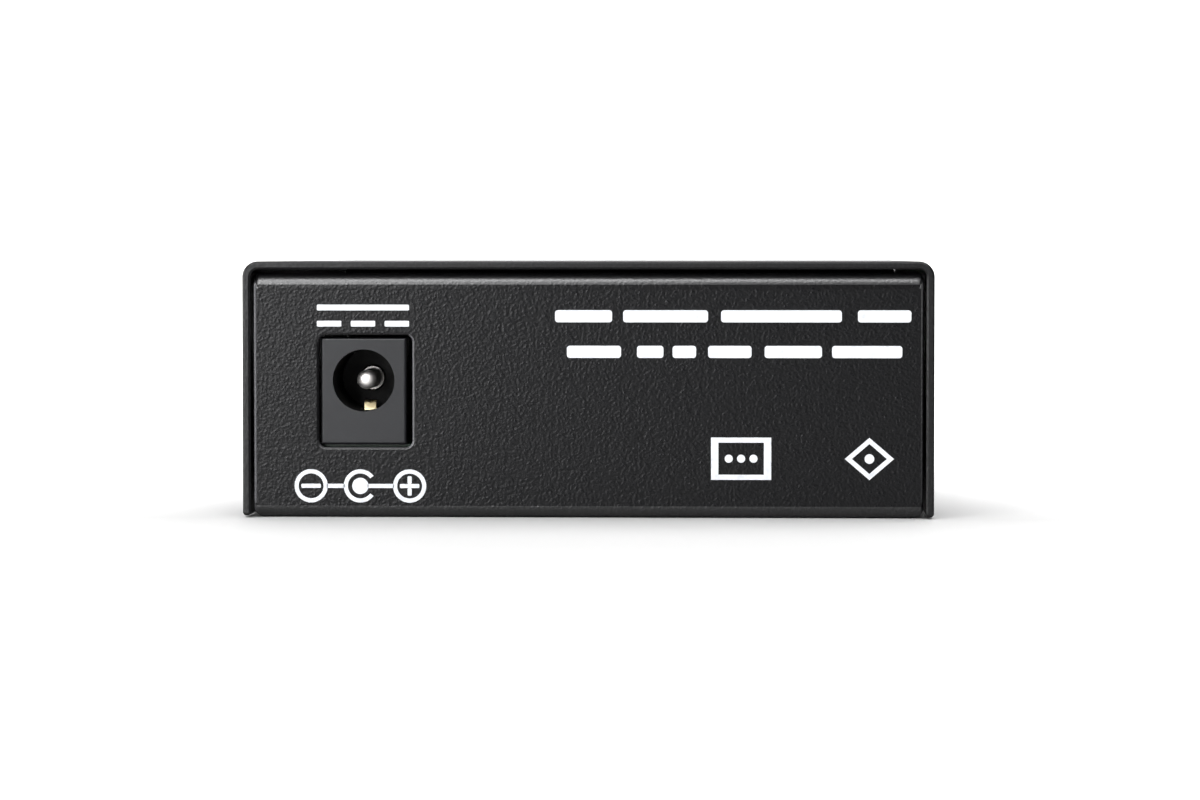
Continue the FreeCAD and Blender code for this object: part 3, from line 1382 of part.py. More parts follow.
def make_chips():
    small = (size.small_chip_lead_count, size.wide_lead_pitch, size.small_chip_lead_width, False)
    make_chip(
        "converter_chip", (size.converter_x, size.middle_row), size.converter_size, size.converter_size,
        size.converter_thickness,
        (size.converter_lead_count, size.converter_lead_pitch, size.converter_lead_width, True),
    )
    for name, place in (
        ("memory_chip", (size.memory_x, size.middle_row)),
        ("regulator_chip", (size.regulator_x, size.regulator_end - board_half_length)),
    ):
        make_chip(
            name, place, size.small_chip_length, size.small_chip_width, size.small_chip_thickness, small,
        )
    make_chip(
        "line_transformer", (lan_x, transformer_y), size.transformer_length, size.transformer_depth,
        size.transformer_height,
        (size.transformer_lead_count, size.wide_lead_pitch, size.small_chip_lead_width, False),
    )


def make_crystal():
    """Metal-can crystal: a flanged foot with a round-ended can on it."""
    body = new_body("crystal", (size.crystal_x, size.middle_row, board_top))
    foot = sketch_on(body, "XY")
    slot(foot, 0, 0, size.crystal_width, size.crystal_length)
    pad(body, foot, size.crystal_foot)
    can = sketch_on(body, "XY")
    brim = 2 * size.crystal_brim
    slot(can, 0, 0, size.crystal_width - brim, size.crystal_length - brim)
    pad(body, can, size.crystal_height)
    soften(body, "Chamfer", lambda edge, middle: near(middle.z, size.crystal_height), size.package_chamfer)
    return body


def make_power_inductor():
    """Shielded power inductor with rounded corners."""
    body = new_body("power_inductor", (size.inductor_x, size.inductor_end - board_half_length, board_top))
    half = size.inductor_size / 2
    plan = sketch_on(body, "XY")
    rectangle(plan, -half, -half, half, half, size.inductor_corner)
    pad(body, plan, size.inductor_height)
    soften(body, "Chamfer", lambda edge, middle: near(middle.z, size.inductor_height), size.package_chamfer)
    return body


def make_capacitor(number, x, y):
    """Electrolytic can on a square base with two cut corners."""
    body = new_body("capacitor_%d" % number, (x, y, board_top))
    half, cut = size.capacitor_base / 2, size.capacitor_corner
    base = sketch_on(body, "XY")
    polygon(base, [
        (-half, -half), (half, -half), (half, half - cut), (half - cut, half),
        (cut - half, half), (-half, half - cut),
    ])
    pad(body, base, size.capacitor_base_height)
    can = sketch_on(body, "XY")
    circle(can, 0, 0, size.capacitor_radius)
    pad(body, can, size.capacitor_height)
    soften(body, "Chamfer", lambda edge, middle: near(middle.z, size.capacitor_height), size.capacitor_edge)
    return body


def make_rectifier_diode():
    """Moulded diode with a flat tab at each end."""
    body = new_body("rectifier_diode", (size.diode_x, size.diode_end - board_half_length, board_top))
    half, wide, tab = size.diode_length / 2, size.diode_width / 2, size.diode_tab / 2
    package = sketch_on(body, "XY")
    rectangle(package, -half, -wide, half, wide)
    pad(body, package, size.diode_height)
    soften(body, "Chamfer", lambda edge, middle: near(middle.z, size.diode_height), size.package_chamfer)
    tabs = sketch_on(body, "XY")
    end = half + size.diode_tab_reach
    rectangle(tabs, -end, -tab, end, tab)
    pad(body, tabs, size.lead_sheet)
    return body


def make_resettable_fuse():
    """Flat polymer fuse with metal end caps."""
    body = new_body("resettable_fuse", (size.fuse_x, size.fuse_end - board_half_length, board_top))
    half, wide = size.fuse_length / 2, size.fuse_width / 2
    package = sketch_on(body, "XY")
    rectangle(package, -half, -wide, half, wide)
    pad(body, package, size.fuse_height)
    caps = sketch_on(body, "XY")
    over = size.fuse_cap_over
    rectangle(caps, -half - over, -wide - over, size.fuse_cap - half, wide + over)
    rectangle(caps, half - size.fuse_cap, -wide - over, half + over, wide + over)
    pad(body, caps, size.fuse_height + over)
    return body


def make_chip_passives():
    """Rows of chip resistors and capacitors in front of and behind the converter chip."""
    for name, height, side in (
        ("chip_resistors", size.resistor_height, 1),
        ("chip_capacitors", size.ceramic_height, -1),
    ):
        half, wide = size.passive_width / 2, size.passive_length / 2
        piece = block((-half, -wide, 0), (half, wide, height))
        row_y = size.middle_row + size.passive_row * side
        copies(name, piece, [
            (size.converter_x + x, row_y, board_top)
            for x in row_places(size.passive_count, size.passive_pitch)
        ])


# ---------------------------------------------------------------- the whole part


def make_everything():
    make_base_chassis()
    make_top_cover()
    make_cover_screws()
    make_board_standoffs()
    make_board_screws()
    make_main_board()

    make_jack_housing()
    make_jack_centre_pin()
    make_jack_rear_contact()
    make_jack_springs()

    make_lan_shield()
    make_lan_insert()
    make_lan_wires()

    make_fibre_receptacle()
    for number, (name, x) in enumerate(zip(("transmitter_can", "receiver_can"), fibre_sides), start=1):
        make_latch_clip(number, x)
        make_optical_sleeve(number, x)
        make_optical_can(name, x)
    make_fibre_case()
    make_transceiver_board()

    number = 0
    for column, x in enumerate(lamp_columns, start=1):
        make_lamp_holder(column, x)
        for z, back in zip(lamp_rows, (size.lamp_lead_low, size.lamp_lead_high)):
            number += 1
            make_lamp(number, x, z, back)

    make_chips()
    make_crystal()
    make_power_inductor()
    make_rectifier_diode()
    make_resettable_fuse()
    rear_row = size.capacitor_end - board_half_length
    make_capacitor(1, size.input_capacitor_x, rear_row)
    make_capacitor(2, size.output_capacitor_x, rear_row)
    make_capacitor(3, size.output_capacitor_x, size.lamp_capacitor_y)
    make_chip_passives()


def check_and_export():
    """Fails the build if anything in the document failed, then writes one file per sub-part."""
    document.recompute()
    for item in document.Objects:
        if "Invalid" in item.State or "Error" in item.State:
            raise RuntimeError("%s failed: %s" % (item.Label, item.State))
    sub_parts = [item for item in document.Objects if item.TypeId in ("PartDesign::Body", "Part::Feature")]
    for item in sub_parts:
        if item.Shape.isNull() or not item.Shape.isValid() or not item.Shape.Solids:
            raise RuntimeError("%s has no valid solid" % item.Label)
    os.makedirs(BUILD_FOLDER, exist_ok=True)
    for item in sub_parts:
        item.Shape.exportStep(os.path.join(BUILD_FOLDER, item.Label + ".step"))
    print("%d sub-parts written" % len(sub_parts))


make_everything()
check_and_export()
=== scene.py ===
"""Looks of the fibre media converter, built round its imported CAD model.

Lengths are metres; MM turns millimetres into metres. The rear panel, with the power jack and the
print, faces -Y.
"""

import math

import bmesh
import bpy
from mathutils import Matrix, Vector


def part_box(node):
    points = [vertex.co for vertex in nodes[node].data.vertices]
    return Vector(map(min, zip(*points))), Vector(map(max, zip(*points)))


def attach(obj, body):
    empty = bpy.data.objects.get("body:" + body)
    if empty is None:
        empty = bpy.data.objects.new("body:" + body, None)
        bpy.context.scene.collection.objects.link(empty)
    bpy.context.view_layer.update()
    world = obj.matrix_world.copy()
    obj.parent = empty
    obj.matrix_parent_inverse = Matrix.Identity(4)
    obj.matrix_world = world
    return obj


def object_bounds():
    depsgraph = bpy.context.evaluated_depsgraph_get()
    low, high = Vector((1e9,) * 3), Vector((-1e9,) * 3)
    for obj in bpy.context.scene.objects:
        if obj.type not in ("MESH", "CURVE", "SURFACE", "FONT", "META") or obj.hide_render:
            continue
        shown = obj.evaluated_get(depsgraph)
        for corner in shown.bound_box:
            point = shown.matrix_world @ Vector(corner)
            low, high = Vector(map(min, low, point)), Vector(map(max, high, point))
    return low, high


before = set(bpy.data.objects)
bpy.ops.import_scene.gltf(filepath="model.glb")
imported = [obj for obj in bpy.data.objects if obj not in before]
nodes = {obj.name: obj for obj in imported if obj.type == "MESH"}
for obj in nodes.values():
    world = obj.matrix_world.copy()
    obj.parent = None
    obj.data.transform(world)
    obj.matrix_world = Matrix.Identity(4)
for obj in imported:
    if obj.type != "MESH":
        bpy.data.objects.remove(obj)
cad_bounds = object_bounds()

MM = 0.001
SHEET = 0.8 * MM


# ---------------------------------------------------------------- shader helpers


class Shader:
    """A material with one Principled surface, and short ways to add the nodes that feed it."""

    def __init__(self, name, **values):
        self.material = bpy.data.materials.new(name)
        self.material.use_nodes = True
        self.tree = self.material.node_tree
        self.surface = self.tree.nodes["Principled BSDF"]
        for socket, value in values.items():
            self.surface.inputs[socket.replace("_", " ")].default_value = value
        coordinates = self.tree.nodes.new("ShaderNodeTexCoord")
        self.position = coordinates.outputs["Object"]

    def node(self, kind, links=(), **values):
        """Adds a node. Values name its settings or its inputs; links are (input, output) pairs."""
        item = self.tree.nodes.new("ShaderNode" + kind)
        for key, value in values.items():
            if hasattr(item, key):
                setattr(item, key, value)
            else:
                item.inputs[key.replace("_", " ")].default_value = value
        for socket, source in links:
            self.tree.links.new(source, item.inputs[socket])
        return item

    def feed(self, socket, source):
        """Links an output to one of the surface's inputs."""
        self.tree.links.new(source, self.surface.inputs[socket])

    def noise(self, grain, detail=2.0, roughness=0.5, stretch=(1, 1, 1)):
        """Noise whose features are about one grain across."""
        scaled = self.node("Mapping", [("Vector", self.position)], Scale=stretch)
        noise = self.node(
            "TexNoise", [("Vector", scaled.outputs[0])],
            Scale=1 / grain, Detail=detail, Roughness=roughness,
        )
        return noise.outputs["Fac"]

    def cells(self, grain):
        """Rounded cells about one grain across."""
        cells = self.node(
            "TexVoronoi", [("Vector", self.position)], feature="SMOOTH_F1", Scale=1 / grain
        )
        return cells.outputs["Distance"]

    def spread(self, source, low, high, start=0.3, end=0.7):
        """Maps a pattern between two values."""
        mapped = self.node(
            "MapRange", [("Value", source)], From_Min=start, From_Max=end, To_Min=low, To_Max=high
        )
        return mapped.outputs[0]

    def colours(self, source, dark, light, start=0.3, end=0.7):
        """Maps a pattern between two colours."""
        ramp = self.node("ValToRGB", [("Fac", source)])
        for stop, place, colour in zip(ramp.color_ramp.elements, (start, end), (dark, light)):
            stop.position = place
            stop.color = (*colour, 1)
        return ramp.outputs["Color"]

    def mixed(self, first, second, share):
        """Blends two patterns; share is how much of the second one there is."""
        blend = self.node("Mix", [(2, first), (3, second)], Factor=share)
        return blend.outputs[0]

    def bump(self, source, depth, strength=1.0, normal=None):
        """Raises the surface by a pattern, over another normal where one is given."""
        links = [("Height", source)] + ([("Normal", normal)] if normal else [])
        bump = self.node("Bump", links, Strength=strength, Distance=depth)
        self.feed("Normal", bump.outputs[0])


def powder_coat(
    name, dark, light, roughness, gloss, index=1.5, depth=0.07 * MM, rounding=0.16 * MM
):
    """Textured powder coat: a fine leathery skin that runs on round the sheet's edges."""
    shader = Shader(name, Metallic=0.0, Roughness=roughness, Specular_IOR_Level=gloss, IOR=index)
    skin = shader.noise(0.26 * MM, detail=1, roughness=0.4)
    pebbles = shader.spread(shader.cells(0.3 * MM), 1, 0, 0, 0.7)
    relief = shader.mixed(skin, pebbles, 0.35)
    shader.feed("Base Color", shader.colours(relief, dark, light, 0.35, 0.72))
    shader.feed("Roughness", shader.spread(relief, roughness + 0.06, roughness - 0.04, 0.35, 0.7))
    edges = shader.node("Bevel", Radius=rounding, samples=6)
    shader.bump(relief, depth, 0.8, edges.outputs[0])
    return shader.material


def moulded_plastic(name, dark, light, roughness):
    """Injection-moulded plastic: faint colour drift and a fine spark-eroded grain."""
    grain, depth = 0.25 * MM, 0.006 * MM
    shader = Shader(name, Metallic=0.0, Roughness=roughness)
    shader.feed("Base Color", shader.colours(shader.noise(4 * MM, detail=3), dark, light))
    grain_noise = shader.noise(grain, detail=2)
    shader.feed("Roughness", shader.spread(grain_noise, roughness - 0.06, roughness + 0.08))
    shader.bump(grain_noise, depth)
    return shader.material


def plated_metal(name, dark, light, roughness, grain=0.5 * MM, depth=0.004 * MM):
    """Bright plating with faint drawing marks."""
    shader = Shader(name, Metallic=1.0, Roughness=roughness)
    streaks = shader.noise(grain, detail=4, stretch=(1, 0.08, 1))
    shader.feed("Base Color", shader.colours(streaks, dark, light))
    shader.feed("Roughness", shader.spread(streaks, roughness - 0.05, roughness + 0.12))
    if depth:
        shader.bump(streaks, depth)
    return shader.material


def printed_ink(name, colour):
    """Screen-printed ink: almost flat, a little uneven where it lies on the grain."""
    shader = Shader(name, Metallic=0.0, Roughness=0.45)
    worn = tuple(0.86 * channel for channel in colour)
    wear = shader.noise(0.5 * MM, detail=3)
    shader.feed("Base Color", shader.colours(wear, worn, colour, 0.25, 0.6))
    shader.bump(shader.noise(0.75 * MM, detail=3, roughness=0.6), 0.05 * MM, 0.4)
    return shader.material


def circuit_board(name):
    """Green solder mask over glass cloth."""
    shader = Shader(name, Metallic=0.0, Roughness=0.3, Coat_Weight=0.3)
    shader.feed("Base Color", shader.colours(
        shader.noise(1.5 * MM, detail=4), (0.003, 0.028, 0.012), (0.006, 0.05, 0.022),
    ))
    shader.bump(shader.noise(0.4 * MM), 0.006 * MM)
    return shader.material


def clear_lamp(name, dark, light):
    """Tinted clear resin of a lamp."""
    shader = Shader(name, Metallic=0.0, Roughness=0.12, Transmission_Weight=0.35, IOR=1.5)
    shader.feed("Base Color", shader.colours(shader.noise(1.5 * MM), dark, light))
    return shader.material


PAINT = powder_coat(
    "powder_coat", (0.004, 0.004, 0.005), (0.012, 0.012, 0.014), roughness=0.3, gloss=0.38
)
# Painted highlight: a paler, glossier coat for the rear panel's top fold; its lighter colour stands
# in for the band of light along the bend.
TOP_FOLD_HIGHLIGHT_PAINT = powder_coat(
    "powder_coat_top_fold_painted_highlight", (0.03, 0.03, 0.032), (0.045, 0.045, 0.048),
    roughness=0.36, gloss=0.42, index=1.9, depth=0.04 * MM,
)
# Painted highlight: a much paler coat for the rear panel's left-facing edges and its left bead,
# standing in for the light that catches them from the left.
EDGE_HIGHLIGHT_PAINT = powder_coat(
    "powder_coat_edges_painted_highlight", (0.17, 0.17, 0.18), (0.22, 0.22, 0.23),
    roughness=0.36, gloss=0.7, depth=0.03 * MM,
)
# The cover's rim: less rounding of its edges, and a paler colour that is a painted highlight
# standing in for the light on the rim.
RIM_HIGHLIGHT_PAINT = powder_coat(
    "powder_coat_rim_painted_highlight", (0.007, 0.007, 0.008), (0.017, 0.017, 0.018),
    roughness=0.34, gloss=0.48, depth=0.05 * MM, rounding=0.03 * MM,
)
# Painted reflection: a paler, glossier coat for the rear panel's bottom fold; its lighter colour
# stands in for the white floor reflected in the bend.
LOW_FOLD_REFLECTION_PAINT = powder_coat(
    "powder_coat_low_fold_painted_reflection", (0.010, 0.010, 0.011), (0.020, 0.020, 0.022),
    roughness=0.34, gloss=0.5, index=1.72,
)
INK = printed_ink("white_ink", (0.90, 0.92, 0.96))
JACK_GREY = moulded_plastic("jack_plastic", (0.026, 0.027, 0.030), (0.031, 0.032, 0.036), 0.34)
# Painted shade: a near-black plastic for the inside of the jack's bore, standing in for the shade
# there.
BORE_SHADE = moulded_plastic("jack_bore_painted_shade", (0.0015, 0.0015, 0.0015), (0.003, 0.003, 0.003), 0.5)
BLACK_PLASTIC = moulded_plastic("black_plastic", (0.012, 0.012, 0.013), (0.018, 0.018, 0.02), 0.42)
CLIP_PLASTIC = moulded_plastic("clip_plastic", (0.60, 0.58, 0.52), (0.68, 0.66, 0.60), 0.4)
CERAMIC = moulded_plastic("ceramic", (0.66, 0.62, 0.55), (0.74, 0.70, 0.63), 0.25)
FERRITE = moulded_plastic("ferrite", (0.035, 0.035, 0.036), (0.05, 0.05, 0.052), 0.6)
FUSE_GREEN = moulded_plastic("fuse_polymer", (0.09, 0.15, 0.07), (0.12, 0.19, 0.09), 0.5)
NICKEL = plated_metal(
    "nickel_plate", (0.61, 0.60, 0.57), (0.66, 0.64, 0.61), 0.28, grain=2 * MM, depth=0
)
PIN_NICKEL = plated_metal(
    "satin_pin", (0.86, 0.84, 0.82), (0.92, 0.90, 0.88), 0.5, grain=2 * MM, depth=0
)
# Painted shade: a darker, glossier nickel for the collar at the root of the jack's pin, deep in the
# bore.
COLLAR_SHADE_NICKEL = plated_metal(
    "pin_collar_painted_shade", (0.40, 0.39, 0.38), (0.46, 0.45, 0.44), 0.14, grain=2 * MM, depth=0
)
SPRING_GOLD = plated_metal(
    "spring_gold", (0.92, 0.80, 0.52), (0.96, 0.86, 0.62), 0.3, grain=1 * MM, depth=0
)
TIN = plated_metal("tinned_leads", (0.60, 0.60, 0.60), (0.72, 0.72, 0.72), 0.3)
ALUMINIUM = plated_metal("capacitor_can", (0.66, 0.66, 0.67), (0.76, 0.76, 0.77), 0.28)
GOLD = plated_metal("gold_plate", (0.78, 0.52, 0.18), (0.92, 0.68, 0.30), 0.18)
SCREW_BLACK = moulded_plastic("screw_black", (0.014, 0.014, 0.015), (0.022, 0.022, 0.024), 0.35)
BOARD = circuit_board("board_laminate")
LAMP_GREEN = clear_lamp("lamp_green", (0.16, 0.42, 0.12), (0.24, 0.55, 0.18))

# A name that ends in an underscore stands for every node that begins with it.
NODE_MATERIALS = {
    PAINT: ("base_chassis", "top_cover"),
    SCREW_BLACK: ("cover_screws",),
    TIN: (
        "board_standoffs", "board_screws", "converter_chip_leads", "memory_chip_leads",
        "regulator_chip_leads", "line_transformer_leads",
    ),
    BOARD: ("main_board", "module_board"),
    JACK_GREY: ("jack_housing",),
    PIN_NICKEL: ("jack_centre_pin",),
    NICKEL: ("jack_rear_contact", "lan_shield", "transmitter_can", "receiver_can", "crystal"),
    SPRING_GOLD: ("jack_sleeve_spring",),
    GOLD: ("jack_switch_contact", "module_pins", "lan_wire_"),
    BLACK_PLASTIC: (
        "lan_insert", "fibre_receptacle", "fibre_case", "module_header", "converter_chip",
        "memory_chip", "regulator_chip", "line_transformer", "rectifier_diode", "lamp_holder_",
    ),
    CLIP_PLASTIC: ("latch_clip_",),
    CERAMIC: ("optical_sleeve_", "chip_capacitors"),
    FERRITE: ("power_inductor", "chip_resistors"),
    FUSE_GREEN: ("resettable_fuse",),
    ALUMINIUM: ("capacitor_",),
    LAMP_GREEN: ("lamp_1", "lamp_2", "lamp_3", "lamp_4", "lamp_5", "lamp_6"),
}


# ---------------------------------------------------------------- materials of the CAD nodes


def middle_of(name):
    """The middle of a node's box."""
    low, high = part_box(name)
    return [(a + b) / 2 for a, b in zip(low, high)]


def repaint(name, material, chosen):
    """Gives a second material to those faces of a node that chosen(middle, normal) picks."""
    node = nodes[name]
    node.data.materials.append(material)
    turn = node.matrix_world.to_3x3()
    for face in node.data.polygons:
        if chosen(node.matrix_world @ face.center, (turn @ face.normal).normalized()):
            face.material_index = len(node.data.materials) - 1


def paint_fold_and_edge_highlights():
    """Paler, shinier coats: a painted highlight on the rear panel's top fold, a painted reflection
    on its bottom fold, and painted highlights on its left-facing edges and on the cover's rim.
    """
    low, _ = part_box("base_chassis")
    fold_end = low[1] + 1.3 * MM
    # The top fold gets a painted highlight, the bottom fold a painted reflection of the floor.
    for side, material in ((1, TOP_FOLD_HIGHLIGHT_PAINT), (-1, LOW_FOLD_REFLECTION_PAINT)):
        repaint("base_chassis", material, lambda middle, normal: (
            middle.y < fold_end and normal.y < 0 and 0.02 < side * normal.z < 0.98
        ))
    # Painted highlight on the edges that face left, towards the lamps.
    repaint("base_chassis", EDGE_HIGHLIGHT_PAINT, lambda middle, normal: (
        middle.y < fold_end and normal.y < -0.3 and normal.x < -0.3
    ))
    # Painted highlight on the cover's rim, with less rounding of its edges.
    rim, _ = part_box("top_cover")
    rim_end = rim[1] + 0.3 * MM
    repaint("top_cover", RIM_HIGHLIGHT_PAINT, lambda middle, normal: middle.y < rim_end and normal.y < -0.5)


def paint_bore_shade():
    """Painted shade: the faces inside the jack's bore get a near-black, rougher plastic standing in
    for the shade deep in the bore; only the outside of the housing keeps the smoother grey.
    """
    x, _, z = middle_of("jack_centre_pin")
    low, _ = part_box("jack_housing")
    bore_radius, lip = 3.2 * MM, 0.2 * MM
    repaint("jack_housing", BORE_SHADE, lambda middle, normal: (
        middle.y > low[1] + lip and math.hypot(middle.x - x, middle.z - z) < bore_radius
    ))


def shade_collar_of_pin():
    """Painted shade: the collar at the root of the jack's pin, deep in the bore, gets a darker
    nickel than the pin.
    """
    x, _, z = middle_of("jack_centre_pin")
    low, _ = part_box("jack_centre_pin")
    pin_radius, tip = 1.02 * MM, 2 * MM
    repaint("jack_centre_pin", COLLAR_SHADE_NICKEL, lambda middle, normal: (
        middle.y > low[1] + tip
        and (math.hypot(middle.x - x, middle.z - z) > pin_radius or abs(normal.y) > 0.99)
    ))


def dress_all_nodes():
    """Gives every CAD node one material over all its faces."""
    for material, names in NODE_MATERIALS.items():
        for name in names:
            for key, node in nodes.items():
                if key == name or (name.endswith("_") and key.startswith(name)):
                    node.data.materials.clear()
                    node.data.materials.append(material)


# ---------------------------------------------------------------- paint, painted shade and painted highlights added to the box


def add_piece(name, mesh, materials):
    """Turns a finished shape into a painted piece that belongs to the box."""
    data = bpy.data.meshes.new(name)
    mesh.to_mesh(data)
    mesh.free()
    for material in materials:
        data.materials.append(material)
    piece = bpy.data.objects.new(name, data)
    bpy.context.scene.collection.objects.link(piece)
    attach(piece, "root")


def bridge_seams():
    """Painted shade: dark sheets of the coat that bridge the narrow seams between the port panel's
    sides and the cover's walls, standing in for the shade in them so no light shows through.
    """
    _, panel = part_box("base_chassis")
    _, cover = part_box("top_cover")
    clear, thickness = 0.03 * MM, 0.4 * MM
    inner, outer = panel[0] + clear, cover[0] - SHEET - clear
    low_end, high_end = 1.6 * MM, panel[2] - 0.3 * MM
    size = Vector((outer - inner, thickness, high_end - low_end))
    for side, name in ((-1, "seam_shade_left"), (1, "seam_shade_right")):
        mesh = bmesh.new()
        bmesh.ops.create_cube(mesh, size=1)
        middle = Vector((
            side * (outer + inner) / 2, panel[1] - SHEET / 2, (low_end + high_end) / 2
        ))
        for corner in mesh.verts:
            corner.co = middle + Vector(a * b for a, b in zip(corner.co, size))
        # Painted shade: the sheet takes the dark coat where the real seam is an open gap in shade.
        add_piece(name, mesh, (PAINT,))


def lofted(name, rings, materials, material_of=lambda side: 0):
    """A closed piece through rings of points; material_of picks the paint of each side."""
    mesh = bmesh.new()
    rows = [[mesh.verts.new(point) for point in ring] for ring in rings]
    for low_row, high_row in zip(rows, rows[1:]):
        for side, point in enumerate(low_row):
            after = (side + 1) % len(low_row)
            face = mesh.faces.new((point, low_row[after], high_row[after], high_row[side]))
            face.smooth = True
            face.material_index = material_of(side)
    for row in (rows[0], rows[-1]):
        mesh.faces.new(row)
    bmesh.ops.recalc_face_normals(mesh, faces=mesh.faces)
    add_piece(name, mesh, materials)


FOLD_RADIUS = 1.2 * MM
FOLD_RAISED = 0.4 * MM


def rear_panel_reach():
    """The rear panel's face, the half width of its face, and where its raised top fold begins."""
    low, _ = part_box("base_chassis")
    node = nodes["base_chassis"]
    places = [node.matrix_world @ corner.co for corner in node.data.vertices]
    half_width = max(place.x for place in places if place.y < low[1] + 0.1 * MM)
    fold_top = max(place.z for place in places if place.y < low[1] + 1.5 * MM)
    return low[1], half_width, fold_top + FOLD_RAISED - FOLD_RADIUS


def coat_top_fold():
    """A thicker coat over the rear panel's top fold, with soft ends and its foot in the panel; its
    bend carries a painted highlight.
    """
    face, half_width, flat_end = rear_panel_reach()
    proud, buried, flat, foot = 0.004 * MM, 0.05 * MM, 0.5 * MM, 0.9 * MM
    front, back = face - proud, face + FOLD_RADIUS
    arc = [math.radians(7.5 * step) for step in range(13)]

    def section(x, inset):
        bend = [
            (x, back - (back - front - inset) * math.cos(a),
             flat_end + (FOLD_RADIUS - inset) * math.sin(a))
            for a in arc
        ]
        return [
            (x, back, flat_end - foot), (x, face + buried + inset, flat_end - foot),
            (x, front + inset, flat_end - flat), *bend,
        ]

    soft_end = ((0, 0.25 * MM), (0.07 * MM, 0.1 * MM), (0.2 * MM, 0.02 * MM), (0.35 * MM, 0))
    rings = [section(-half_width + inward, inset) for inward, inset in soft_end]
    rings += [section(half_width - inward, inset) for inward, inset in reversed(soft_end)]
    flat_sides, bent_sides = 3, len(arc) - 1
    # The bent sides take the paler top-fold coat, a painted highlight along the bend; the rest
    # keeps the plain coat.
    lofted("fold_paint_and_highlight", rings, (PAINT, TOP_FOLD_HIGHLIGHT_PAINT), lambda side: (
        int(flat_sides <= side < flat_sides + bent_sides)
    ))


def bead_sides():
    """A bead of paint down each side edge of the rear panel, round where the sheet is sharp; the
    left bead is paler, a painted highlight.
    """
    face, half_width, flat_end = rear_panel_reach()
    radius, inward, outward, steps = 0.15 * MM, 0.06 * MM, 0.05 * MM, 16
    heights = (
        (1.35 * MM, 0.3), (1.45 * MM, 0.8), (1.7 * MM, 1),
        (flat_end - 0.1 * MM, 1), (flat_end + 0.1 * MM, 0.8), (flat_end + 0.2 * MM, 0.3),
    )
    turns = [2 * math.pi * step / steps for step in range(steps)]
    # The left bead takes the paler edge coat, a painted highlight from the lamps on the left; the
    # right bead keeps the plain coat.
    for way, name, paint in (
        (-1, "edge_paint_highlight_left", EDGE_HIGHLIGHT_PAINT), (1, "edge_paint_right", PAINT),
    ):
        x, y = way * (half_width + outward), face + inward
        rings = [
            [(x + radius * share * math.cos(a), y + radius * share * math.sin(a), z) for a in turns]
            for z, share in heights
        ]
        lofted(name, rings, (paint,))


# ---------------------------------------------------------------- print on the rear panel


def around(x, z, radius, angles):
    """Points about a centre, at angles in degrees."""
    return [
        (x + radius * math.cos(math.radians(angle)), z + radius * math.sin(math.radians(angle)))
        for angle in angles
    ]


class Print:
    """Ink shapes drawn on the rear panel, in millimetres right of and above a chosen point."""

    THICKNESS = 0.025
    BURIED = 0.02

    def __init__(self, name, middle_x, middle_z):
        self.name = name
        self.middle = Vector((middle_x, 0, middle_z))
        self.mesh = bmesh.new()
        panel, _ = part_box("base_chassis")
        self.panel_y = panel[1]

    def shape(self, outline, holes=()):
        """A flat shape from the points of its outline and of any holes."""
        edges = []
        for points in (outline, *holes):
            ring = [self.mesh.verts.new(self.place(x, z)) for x, z in points]
            edges += [self.mesh.edges.new((a, b)) for a, b in zip(ring, ring[1:] + ring[:1])]
        bmesh.ops.triangle_fill(self.mesh, use_beauty=True, edges=edges, normal=(0, -1, 0))

    def place(self, x, z):
        """A point of the print, just under the panel's surface."""
        return Vector((x * MM, self.panel_y + self.BURIED * MM, z * MM)) + self.middle

    def bar(self, x, z, width, height, corner=0.12):
        """A rounded bar about its middle."""
        half_width, half_height = width / 2 - corner, height / 2 - corner
        points = []
        for quarter, (sx, sz) in enumerate(((1, 1), (-1, 1), (-1, -1), (1, -1))):
            angles = [90 * quarter + 22.5 * step for step in range(5)]
            points += around(x + sx * half_width, z + sz * half_height, corner, angles)
        self.shape(points)

    def ring(self, x, z, radius, stroke, start=0, end=360):
        """A ring, or an arc of one between two angles in degrees."""
        steps = int((end - start) / 7.5)
        angles = [start + (end - start) * step / steps for step in range(steps + 1)]
        outer = around(x, z, radius, angles)
        inner = around(x, z, radius - stroke, angles)
        if end - start >= 360:
            self.shape(outer[:-1], [inner[:-1]])
        else:
            self.shape(outer + inner[::-1])

    def disc(self, x, z, radius):
        """A round dot."""
        steps = 32
        self.shape(around(x, z, radius, [360 * step / steps for step in range(steps)]))

    def frame_of(self, corners, stroke_share):
        """A closed outline with a smaller copy of itself cut out about its middle."""
        middle = [sum(point[axis] for point in corners) / len(corners) for axis in (0, 1)]
        inner = [
            tuple(m + (p - m) * (1 - stroke_share) for p, m in zip(point, middle))
            for point in corners
        ]
        self.shape(corners, [inner])

    def done(self):
        """Raises the shapes by the thickness of the ink and makes one piece of them."""
        raised = bmesh.ops.extrude_face_region(self.mesh, geom=list(self.mesh.faces))
        lift = Vector((0, -(self.THICKNESS + self.BURIED) * MM, 0))
        moved = [item for item in raised["geom"] if isinstance(item, bmesh.types.BMVert)]
        bmesh.ops.translate(self.mesh, vec=lift, verts=moved)
        bmesh.ops.recalc_face_normals(self.mesh, faces=self.mesh.faces)
        add_piece(self.name, self.mesh, (INK,))


STROKE = 0.44


def print_direct_current_mark():
    """The direct-current sign over the power jack: a line over three dashes."""
    x, _, _ = middle_of("jack_housing")
    _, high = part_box("jack_housing")
    mark = Print("print_direct_current", x, high[2] + 2.25 * MM)
    length, dash, gap, rise, stroke = 9.4, 2.5, 0.95, 0.82, 0.6
    mark.bar(0, rise, length, stroke)
    for index in (-1, 0, 1):
        mark.bar(index * (dash + gap), -rise, dash, stroke)
    mark.done()


